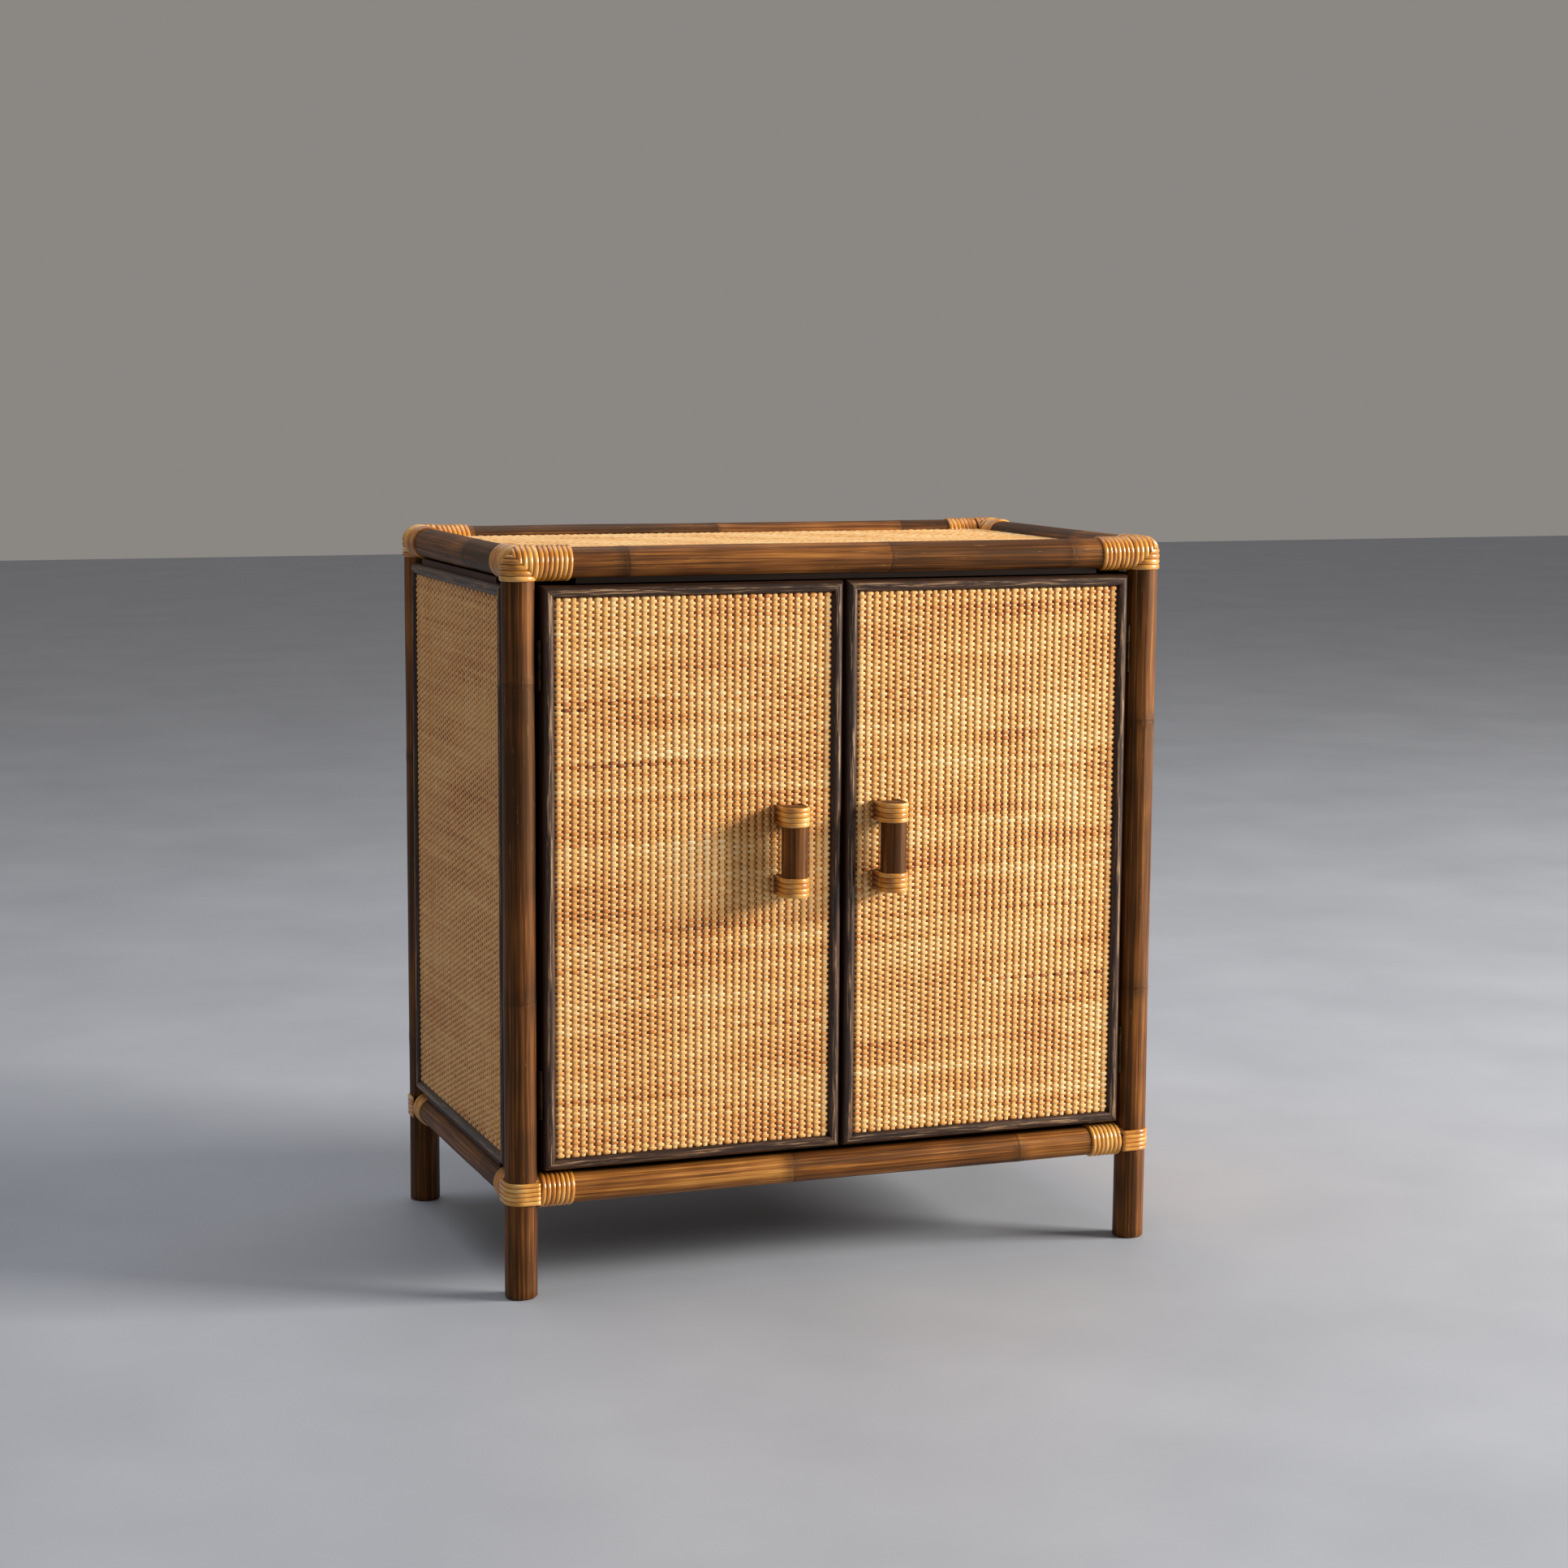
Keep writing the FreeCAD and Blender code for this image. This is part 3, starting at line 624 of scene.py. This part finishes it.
def bead_frame(name, node, body, axes, bead_w, finish):
    """Four half-round strips, mitred at the corners.

    In section a strip is the arc through its two edges and its crest. A line of the section that lies v
    in from the panel's edge ends v short of its corner, which gives the mitre.
    """
    across, up, out = axes
    back, width, height = panel_place(node, *axes)
    low, high = corners_of(node)
    crest = abs((high - low) @ out)
    radius = (bead_w ** 2 / 4 + crest ** 2) / (2 * crest)
    half = math.asin(bead_w / 2 / radius)
    angle = np.linspace(-half, half, BEAD_POINTS)
    inward = bead_w / 2 + radius * np.sin(angle)
    out_of = crest - radius + radius * np.cos(angle)
    share = np.linspace(-1, 1, BEAD_STEPS)[:, None]
    sides = []
    for along, toward, length, span in ((across, up, width, height), (up, across, height, width)):
        for sign in (-1, 1):
            walk = share * (length / 2 - inward)
            sway = np.sin(walk * BEAD_WAVES[0] + rng.uniform(0, BEAD_START))
            bump = BEAD_UNEVEN * sway * np.sin(walk * BEAD_WAVES[1]) - BEAD_UNEVEN
            lift = np.maximum(out_of + bump * out_of / crest, 0)
            rings = (back + walk[..., None] * along + sign * (span / 2 - inward)[:, None] * toward
                     + lift[..., None] * out)
            shape = rings.shape[:2]
            run = walk + rng.uniform(0, GRAIN_REACH)
            grain = np.stack([run, np.broadcast_to(inward, shape), lift], axis=-1)
            tone = np.full(shape, rng.normal(0, BEAD_SHADES))
            ridge = np.broadcast_to(out_of / crest, shape)
            sides.append((rings[None], {"grain": grain[None], "tone": tone[None], "ridge": ridge[None]}))
    skin_piece(name, node, body, finish, sides)


# Finishes: noises in waves per metre along, across and out of the grain, mixed by weights

def tint(code):
    """A colour written as RRGGBB, in linear light."""
    part = np.array([int(code[i:i + 2], 16) for i in (0, 2, 4)]) / 255
    linear = np.where(part <= 0.04045, part / 12.92, ((part + 0.055) / 1.055) ** 2.4)
    return (*linear.tolist(), 1.0)


class Finish:
    """A material being mixed: each call adds one node and gives back its output."""

    def __init__(self, name):
        self.material = bpy.data.materials.new(name)
        self.material.use_nodes = True
        self.tree = self.material.node_tree
        self.shader = self.tree.nodes["Principled BSDF"]

    def add(self, kind, output, feeds, **options):
        """One node with its options set and its sockets fed."""
        node = self.tree.nodes.new(kind)
        for option, value in options.items():
            setattr(node, option, value)
        for socket, value in feeds.items():
            self.feed(node.inputs[socket], value)
        return node.outputs[output]

    def feed(self, socket, value):
        """Links an output to a socket, or sets the socket to a constant."""
        if isinstance(value, bpy.types.NodeSocket):
            self.tree.links.new(value, socket)
        else:
            socket.default_value = value

    def mark(self, name, output="Fac"):
        """A value kept at the piece's points."""
        return self.add("ShaderNodeAttribute", output, {}, attribute_name=name)

    def object_place(self):
        """A point's place in the cabinet at rest."""
        return self.add("ShaderNodeTexCoord", "Object", {})

    def stretch(self, vector, factors):
        return self.add("ShaderNodeVectorMath", 0, {0: vector, 1: factors}, operation="MULTIPLY")

    def noise(self, vector, waves, detail=3.0, rough=0.55):
        """Cloudy noise with so many waves per metre along each axis of the vector."""
        place = self.stretch(vector, waves)
        feeds = {"Vector": place, "Scale": 1.0, "Detail": detail, "Roughness": rough}
        return self.add("ShaderNodeTexNoise", "Fac", feeds)

    def sum(self, *terms):
        """Terms are (value, weight) pairs, added up with a plain number first."""
        total = terms[0]
        for value, weight in terms[1:]:
            feeds = {0: value, 1: weight, 2: total}
            total = self.add("ShaderNodeMath", 0, feeds, operation="MULTIPLY_ADD")
        return total

    def spread(self, value, low, high, to_low=0.0, to_high=1.0):
        """Eases from to_low to to_high while the value goes from low to high."""
        return self.add("ShaderNodeMapRange", 0, {0: value, 1: low, 2: high, 3: to_low, 4: to_high},
                        interpolation_type="SMOOTHSTEP")

    def times(self, a, b):
        return self.add("ShaderNodeMath", 0, {0: a, 1: b}, operation="MULTIPLY")

    def shades(self, value, *stops):
        """Colours by value: each stop is a place and a colour."""
        node = self.tree.nodes.new("ShaderNodeValToRGB")
        ramp = node.color_ramp
        while len(ramp.elements) < len(stops):
            ramp.elements.new(0.5)
        for element, (place, code) in zip(ramp.elements, stops):
            element.position = place
            element.color = tint(code)
        self.feed(node.inputs[0], value)
        return node.outputs["Color"]

    def over(self, share, under, code):
        """Lays a colour over another by share."""
        return self.add("ShaderNodeMix", 2, {0: share, 6: under, 7: tint(code)}, data_type="RGBA")

    def done(self, colour, roughness, height, depth, **constants):
        """Feeds the shader: colour, roughness, and a bump of that depth in metres."""
        self.feed(self.shader.inputs["Base Color"], colour)
        self.feed(self.shader.inputs["Roughness"], roughness)
        bump = self.add("ShaderNodeBump", "Normal", {"Height": height, "Distance": depth, "Strength": 1.0})
        self.feed(self.shader.inputs["Normal"], bump)
        for socket, value in constants.items():
            self.shader.inputs[socket.replace("_", " ")].default_value = value
        return self.material


def lengthwise(axis, along, across):
    """Waves per metre on three axes, for a grain that runs along one of them."""
    waves = [across] * 3
    waves[axis] = along
    return waves


def stained_pole():
    """Dark stained, polished cane: lines, streaks and patches along it, faint knots, pale scratches."""
    f = Finish("Stained cane pole")
    grain = f.mark("grain", "Vector")
    streak = f.noise(grain, (5, 330, 330), 3, 0.55)
    line = f.noise(grain, (12, 1100, 1100), 3, 0.6)
    cloud = f.noise(grain, (10, 16, 16), 2)
    fibre = f.noise(grain, (80, 2000, 2000), 2)
    value = f.sum(-0.8, (f.mark("tone"), 0.3), (streak, 1.0), (line, 0.8), (cloud, 0.6))
    colour = f.shades(value, (0.0, "1a0c05"), (0.3, "3b1f0c"), (0.5, "643918"), (0.75, "9c632c"),
                      (1.0, "d49e54"))
    scar = f.times(f.spread(f.mark("knot"), 0.2 * MM, 1.6 * MM, 1.0, 0.0), f.spread(streak, 0.4, 0.62))
    colour = f.over(f.times(scar, 0.5), colour, "1e1009")
    smudge = f.times(f.spread(f.mark("knot"), 1 * MM, 18 * MM, 1.0, 0.0), f.spread(cloud, 0.45, 0.62))
    colour = f.over(f.times(smudge, 0.6), colour, "2a150e")
    scratch = f.spread(f.noise(grain, (26, 700, 700), 3, 0.7), 0.67, 0.72)
    colour = f.over(f.times(scratch, 0.4), colour, "d6a866")
    roughness = f.sum(0.42, (fibre, 0.16), (scratch, 0.15))
    height = f.sum(0.0, (line, 0.6), (streak, 0.4))
    return f.done(colour, roughness, height, 0.25 * MM,
                  Specular_IOR_Level=0.5, Specular_Tint=tint("f8cc98"))


def peel_strip():
    """Glossy cane peel: honey tan, each strip its own shade, with darker patches and fine fibres."""
    f = Finish("Cane peel strip")
    grain = f.mark("grain", "Vector")
    fibre = f.noise(grain, (45, 1500, 900), 3, 0.6)
    patch = f.noise(grain, (38, 60, 9), 3)
    value = f.sum(-0.28, (f.mark("tone"), 0.25), (fibre, 0.6), (patch, 1.1))
    colour = f.shades(value, (0.05, "6e3a10"), (0.35, "ac661d"), (0.6, "d8973f"), (0.95, "f2c678"))
    roughness = f.sum(0.18, (fibre, 0.16))
    return f.done(colour, roughness, fibre, 0.12 * MM, Coat_Weight=0.5, Coat_Roughness=0.1)


def woven_cane(name, contrast, *codes):
    """Satin core cane, from deep to pale: each strand's own shade, fibres along it, small dark marks."""
    f = Finish(name)
    grain = f.mark("grain", "Vector")
    fibre = f.noise(grain, (60, 1700, 5), 3, 0.6)
    patch = f.noise(grain, (24, 90, 9), 3)
    value = f.sum(0.22, (f.mark("tone"), contrast), (fibre, 0.4), (patch, 0.4))
    colour = f.shades(value, *zip((0.0, 0.2, 0.42, 0.65, 1.0), codes))
    fleck = f.spread(f.noise(grain, (150, 700, 11), 2), 0.68, 0.76)
    colour = f.over(f.times(fleck, 0.5), colour, "6e3f18")
    roughness = f.sum(0.3, (fibre, 0.2))
    return f.done(colour, roughness, fibre, 0.12 * MM, Specular_IOR_Level=0.5)


def dark_bead():
    """Nearly black half-round: a brown grain along it, and pale worn flecks on its ridge."""
    f = Finish("Dark half-round bead")
    grain = f.mark("grain", "Vector")
    streak = f.noise(grain, (14, 420, 420), 4, 0.6)
    fibre = f.noise(grain, (70, 1500, 1500), 2)
    value = f.sum(-0.4, (f.mark("tone"), 0.15), (streak, 1.6))
    colour = f.shades(value, (0.0, "180e08"), (0.4, "2f1c12"), (0.75, "503221"), (1.0, "835b3c"))
    worn = f.spread(f.noise(grain, (18, 420, 420), 4, 0.7), 0.5, 0.64)
    worn = f.times(worn, f.spread(f.mark("ridge"), 0.7, 1.0))
    colour = f.over(f.times(worn, 0.8), colour, "b8936a")
    roughness = f.sum(0.28, (fibre, 0.2), (worn, 0.25))
    return f.done(colour, roughness, streak, 0.3 * MM, Specular_IOR_Level=0.45)


def sawn_wood(name, along, dark, mid, pale, layers=None, gloss=0.3):
    """Stained wood on its own place: grain stretched along one axis, and glue lines on the edges of ply.

    along is the grain's axis, and layers the axis that the plies are stacked on.
    """
    f = Finish(name)
    place = f.object_place()
    grain = f.noise(place, lengthwise(along, 7.0, 170.0), 5, 0.6)
    fibre = f.noise(place, lengthwise(along, 26.0, 900.0), 3)
    cloud = f.noise(place, lengthwise(along, 2.2, 9.0), 3)
    value = f.sum(-0.4, (grain, 0.8), (cloud, 0.7), (fibre, 0.3))
    colour = f.shades(value, (0.1, dark), (0.5, mid), (0.9, pale))
    if layers is not None:
        normal = f.add("ShaderNodeNewGeometry", "Normal", {})
        facing = f.add("ShaderNodeSeparateXYZ", layers, {0: normal})
        edge = f.spread(f.add("ShaderNodeMath", 0, {0: facing}, operation="ABSOLUTE"), 0.3, 0.6, 1.0, 0.0)
        depth = f.add("ShaderNodeSeparateXYZ", layers, {0: place})
        ply = f.add("ShaderNodeMath", 0, {0: depth, 1: 2.4 * MM}, operation="PINGPONG")
        glue = f.spread(ply, 1.0 * MM, 1.5 * MM)
        colour = f.over(f.times(edge, f.times(glue, 0.6)), colour, dark)
    roughness = f.sum(0.5, (grain, 0.2))
    return f.done(colour, roughness, fibre, 0.15 * MM, Specular_IOR_Level=gloss)


def rolled_metal(name, along, base, worn, bright):
    """Rolled metal: fine lines along one axis, dull patches, and a few brighter scratches."""
    f = Finish(name)
    place = f.object_place()
    line = f.noise(place, lengthwise(along, 60.0, 2600.0), 3)
    patch = f.noise(place, (90, 90, 90), 4, 0.6)
    colour = f.shades(f.sum(0.0, (line, 0.45), (patch, 0.55)), (0.3, worn), (0.5, base), (0.75, bright))
    roughness = f.sum(0.2, (patch, 0.3), (line, 0.12))
    return f.done(colour, roughness, line, 0.05 * MM, Metallic=1.0)


def moulded_shell():
    """Brown moulded plastic of the catches: a fine spark-eroded texture and faint scuffs."""
    f = Finish("Moulded catch housing")
    place = f.object_place()
    grit = f.noise(place, (1800, 1800, 1800), 2)
    scuff = f.noise(place, (120, 300, 120), 4, 0.7)
    colour = f.shades(scuff, (0.35, "24140c"), (0.6, "3a2416"), (0.8, "5a3d28"))
    roughness = f.sum(0.38, (grit, 0.2), (scuff, 0.1))
    return f.done(colour, roughness, grit, 0.08 * MM)


def pale_floor():
    """A plain pale floor with a faint mottle."""
    f = Finish("Pale floor")
    place = f.object_place()
    mottle = f.noise(place, (3, 3, 3), 4)
    colour = f.shades(mottle, (0.3, "9fa7b4"), (0.7, "a9b1be"))
    return f.done(colour, f.sum(0.5, (mottle, 0.1)), mottle, 0.1 * MM)


STAINED_POLE = stained_pole()
PEEL_STRIP = peel_strip()
GOLDEN_CANE = woven_cane("Golden woven cane", 0.42, "4a2409", "9a4f1c", "d38a3c", "eebc72", "fae2b2")
# A redder copy of the golden cane for the sides and back. Its tone weighs more, so the painted recess
# shade is deeper: colour and shade painted to copy a side in shade
SIDE_CANE_PAINTED_SHADE = woven_cane("Side woven cane with painted shade", 0.65, "4a2409", "944a1b", "d2883c", "edb66a", "f8dca6")
DARK_BEAD = dark_bead()
PLY_SHADES = ("27150b", "44291a", "644428")
PLY_BY_LAYER = [sawn_wood("Stained plywood, layers across " + "XYZ"[layers], along, *PLY_SHADES, layers)
                for layers, along in ((0, 2), (1, 2), (2, 0))]
HARDWOOD_SHADES = ("46280f", "79502a", "a0733f")
HARDWOOD_X = sawn_wood("Hardwood, grain across", 0, *HARDWOOD_SHADES)
HARDWOOD_Y = sawn_wood("Hardwood, grain front to back", 1, *HARDWOOD_SHADES)
HARDWOOD_Z = sawn_wood("Hardwood, grain upright", 2, *HARDWOOD_SHADES)
HEADER_STRIP = sawn_wood("Dark header strip", 0, "0a0604", "140b07", "26180f", gloss=0.1)
BRASS = rolled_metal("Darkened brass", 2, "2c2013", "1a120b", "5a4224")
STEEL = rolled_metal("Turned steel", 2, "9a9a98", "6c6b69", "c9c9c6")
SHELL = moulded_shell()

CAD_FINISHES = {
    "top_board": PLY_BY_LAYER[2], "floor_board": PLY_BY_LAYER[2], "shelf": PLY_BY_LAYER[2],
    "side_board_left": PLY_BY_LAYER[0], "side_board_right": PLY_BY_LAYER[0], "back_board": PLY_BY_LAYER[1],
    "left_door_board": PLY_BY_LAYER[1], "right_door_board": PLY_BY_LAYER[1],
    "rail_dowels": HARDWOOD_X, "catch_rail": HARDWOOD_X, "shelf_cleats": HARDWOOD_Y,
    "door_header": HEADER_STRIP, "door_catches": SHELL,
    "hinge_leg_leaves": BRASS, "hinge_pins": STEEL,
}
for door in DOORS:
    for part, finish in (("hinge_leaves", BRASS), ("strike", STEEL), ("handle_screws", STEEL),
                         ("handle_block_upper", HARDWOOD_Z), ("handle_block_lower", HARDWOOD_Z)):
        CAD_FINISHES[door + "_" + part] = finish
for node, finish in CAD_FINISHES.items():
    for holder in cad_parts[node].material_slots:
        holder.material = finish

# Legs, rails and corner bindings

leg_r = upright("leg_front_left")[2]
leg_axis = {corner: upright("leg_" + corner)[0][:2] for corner in CORNERS}
for corner in CORNERS:
    node = "leg_" + corner
    skin_piece("cane_" + node, node, "cabinet", STAINED_POLE, [leg_skin(node)])
for level in ("top", "bottom"):
    for place, (start, end) in RAILS.items():
        node = "%s_rail_%s" % (level, place)
        skin_piece("cane_" + node, node, "cabinet", STAINED_POLE,
                   [rail_skin(node, leg_axis[start], leg_axis[end], leg_r)])
    rail_low, rail_high = corners_of(level + "_rail_front")
    rail_r = (rail_high[2] - rail_low[2]) / 2
    for corner, (side_x, side_y) in CORNERS.items():
        node = "binding_%s_%s" % (level, corner)
        crossing = np.append(leg_axis[corner], (rail_low[2] + rail_high[2]) / 2)
        skin_piece("peel_" + node, node, "cabinet", PEEL_STRIP,
                   corner_binding(crossing, side_x, side_y, leg_r, rail_r, level == "top"))

# Handles: a bar, and a strap at each end of it that goes into the weave

for door in DOORS:
    bar = door + "_handle_bar"
    skin_piece(door + "_cane_bar", bar, door, STAINED_POLE, [bar_skin(bar)])
    bar_low, bar_high = corners_of(bar)
    bar_r = (bar_high[0] - bar_low[0]) / 2
    bar_x, bar_y = (bar_low + bar_high)[:2] / 2
    run = corners_of(door + "_weave")[0][1] + HANDLE_SINK - bar_y
    reach = HANDLE_STRANDS * HANDLE_PITCH / 2
    straps = [moved(strap(bar_r, HANDLE_STRANDS, HANDLE_PITCH, np.pi, run, HANDLE_STRIP_H, HANDLE_PAINTED_SHADE),
                    np.array([bar_x, bar_y, height]), X, -Y, Z)
              for height in (bar_low[2] + reach, bar_high[2] - reach)]
    bindings = door + "_handle_bindings"
    skin_piece(door + "_peel_straps", bindings, door, PEEL_STRIP, straps)

# Woven panels and their beads

bead_low, bead_high = corners_of("left_door_beads")
weave_low, weave_high = corners_of("left_door_weave")
bead_w = (bead_high[0] - bead_low[0] - (weave_high[0] - weave_low[0])) / 2
FRONT = (X, Z, -Y)
LEFT = (-Y, Z, -X)
RIGHT = (Y, Z, X)
REAR = (-X, Z, Y)
LEVEL = (X, Y, Z)
DOOR_WEAVE = (OVER_FINE, GOLDEN_CANE, DOOR_MOTTLE)
SIDE_WEAVE = (OVER_FINE, SIDE_CANE_PAINTED_SHADE, SIDE_MOTTLE)
BACK_WEAVE = (OVER_PLAIN, SIDE_CANE_PAINTED_SHADE, SIDE_MOTTLE)
PANELS = (
    ("left_door", "left_door_weave", "left_door_beads", "left_door", FRONT, DOOR_WEAVE),
    ("right_door", "right_door_weave", "right_door_beads", "right_door", FRONT, DOOR_WEAVE),
    ("left_side", "side_weave_left", "side_beads_left", "cabinet", LEFT, SIDE_WEAVE),
    ("right_side", "side_weave_right", "side_beads_right", "cabinet", RIGHT, SIDE_WEAVE),
    ("back", "back_weave", "back_beads", "cabinet", REAR, BACK_WEAVE),
)
for name, weave, beads, body, axes, kind in PANELS:
    woven_panel(name, weave, body, axes, *kind, streaks=SEEN_STREAKS.get(name, ()))
    bead_frame(name + "_bead_frame", beads, body, axes, bead_w, DARK_BEAD)
woven_panel("top", "top_weave", "cabinet", LEVEL, *DOOR_WEAVE, shade=TOP_PAINTED_LIGHT, inset=TOP_INSET)

# Floor, light and camera

FLOOR_HALF = 12.0
SKY_STRENGTH = 0.3
CAMERA_AZIMUTH = math.radians(-20.603)
CAMERA_ELEVATION = math.radians(7.727)
CAMERA_ROLL = math.radians(0.356)
CAMERA_DISTANCE = 3.4597
CAMERA_TARGET = np.array([0.00822, 0.0, 0.4973])
SENSOR_WIDTH = 36.0
FOCAL_LENGTH = 71.414


def stand(place, right, up, back):
    """The columns of a matrix, from three axes and a place."""
    return [[*right, 0.0], [*up, 0.0], [*back, 0.0], [*place, 1.0]]


def soft_light(name, place, target, width, height, power, code):
    """A large area light at place, with its -Z axis towards target."""
    lamp = bpy.data.lights.new(name, "AREA")
    lamp.shape = "RECTANGLE"
    lamp.size, lamp.size_y = width, height
    lamp.energy = power
    lamp.color = tint(code)[:3]
    place, target = np.array(place), np.array(target)
    back = (place - target) / np.linalg.norm(place - target)
    right = np.cross(Z, back) / np.linalg.norm(np.cross(Z, back))
    holder = bpy.data.objects.new(name, lamp)
    bpy.context.scene.collection.objects.link(holder)
    holder.matrix_world = stand(place, right, np.cross(back, right), back)


floor_mesh = bpy.data.meshes.new("floor")
floor_mesh.from_pydata([(-FLOOR_HALF, -FLOOR_HALF, 0), (FLOOR_HALF, -FLOOR_HALF, 0),
                        (FLOOR_HALF, FLOOR_HALF, 0), (-FLOOR_HALF, FLOOR_HALF, 0)], [], [(0, 1, 2, 3)])
floor_mesh.materials.append(pale_floor())
floor = bpy.data.objects.new("floor", floor_mesh)
bpy.context.scene.collection.objects.link(floor)

world = bpy.data.worlds.new("Studio")
world.use_nodes = True
sky = world.node_tree.nodes["Background"]
sky.inputs["Color"].default_value = tint("efe8e2")
sky.inputs["Strength"].default_value = SKY_STRENGTH
bpy.context.scene.world = world

soft_light("window", place=(5.21, -2.32, 2.3), target=(0, 0, 0.45), width=2.4, height=1.6,
           power=700, code="fff4e6")
soft_light("ceiling", place=(-0.3, 0.6, 3.0), target=(0, 0, 0.6), width=2.4, height=2.4,
           power=34, code="ffffff")

back = np.array([math.sin(CAMERA_AZIMUTH) * math.cos(CAMERA_ELEVATION),
                 -math.cos(CAMERA_AZIMUTH) * math.cos(CAMERA_ELEVATION), math.sin(CAMERA_ELEVATION)])
level_right = np.array([math.cos(CAMERA_AZIMUTH), math.sin(CAMERA_AZIMUTH), 0.0])
level_up = np.cross(back, level_right)
right = math.cos(CAMERA_ROLL) * level_right + math.sin(CAMERA_ROLL) * level_up
up = math.cos(CAMERA_ROLL) * level_up - math.sin(CAMERA_ROLL) * level_right
lens = bpy.data.cameras.new("camera")
lens.sensor_width = SENSOR_WIDTH
lens.lens = FOCAL_LENGTH
camera = bpy.data.objects.new("camera", lens)
bpy.context.scene.collection.objects.link(camera)
camera.matrix_world = stand(CAMERA_TARGET + back * CAMERA_DISTANCE, right, up, back)
bpy.context.scene.camera = camera
bpy.context.scene.view_settings.view_transform = "Standard"
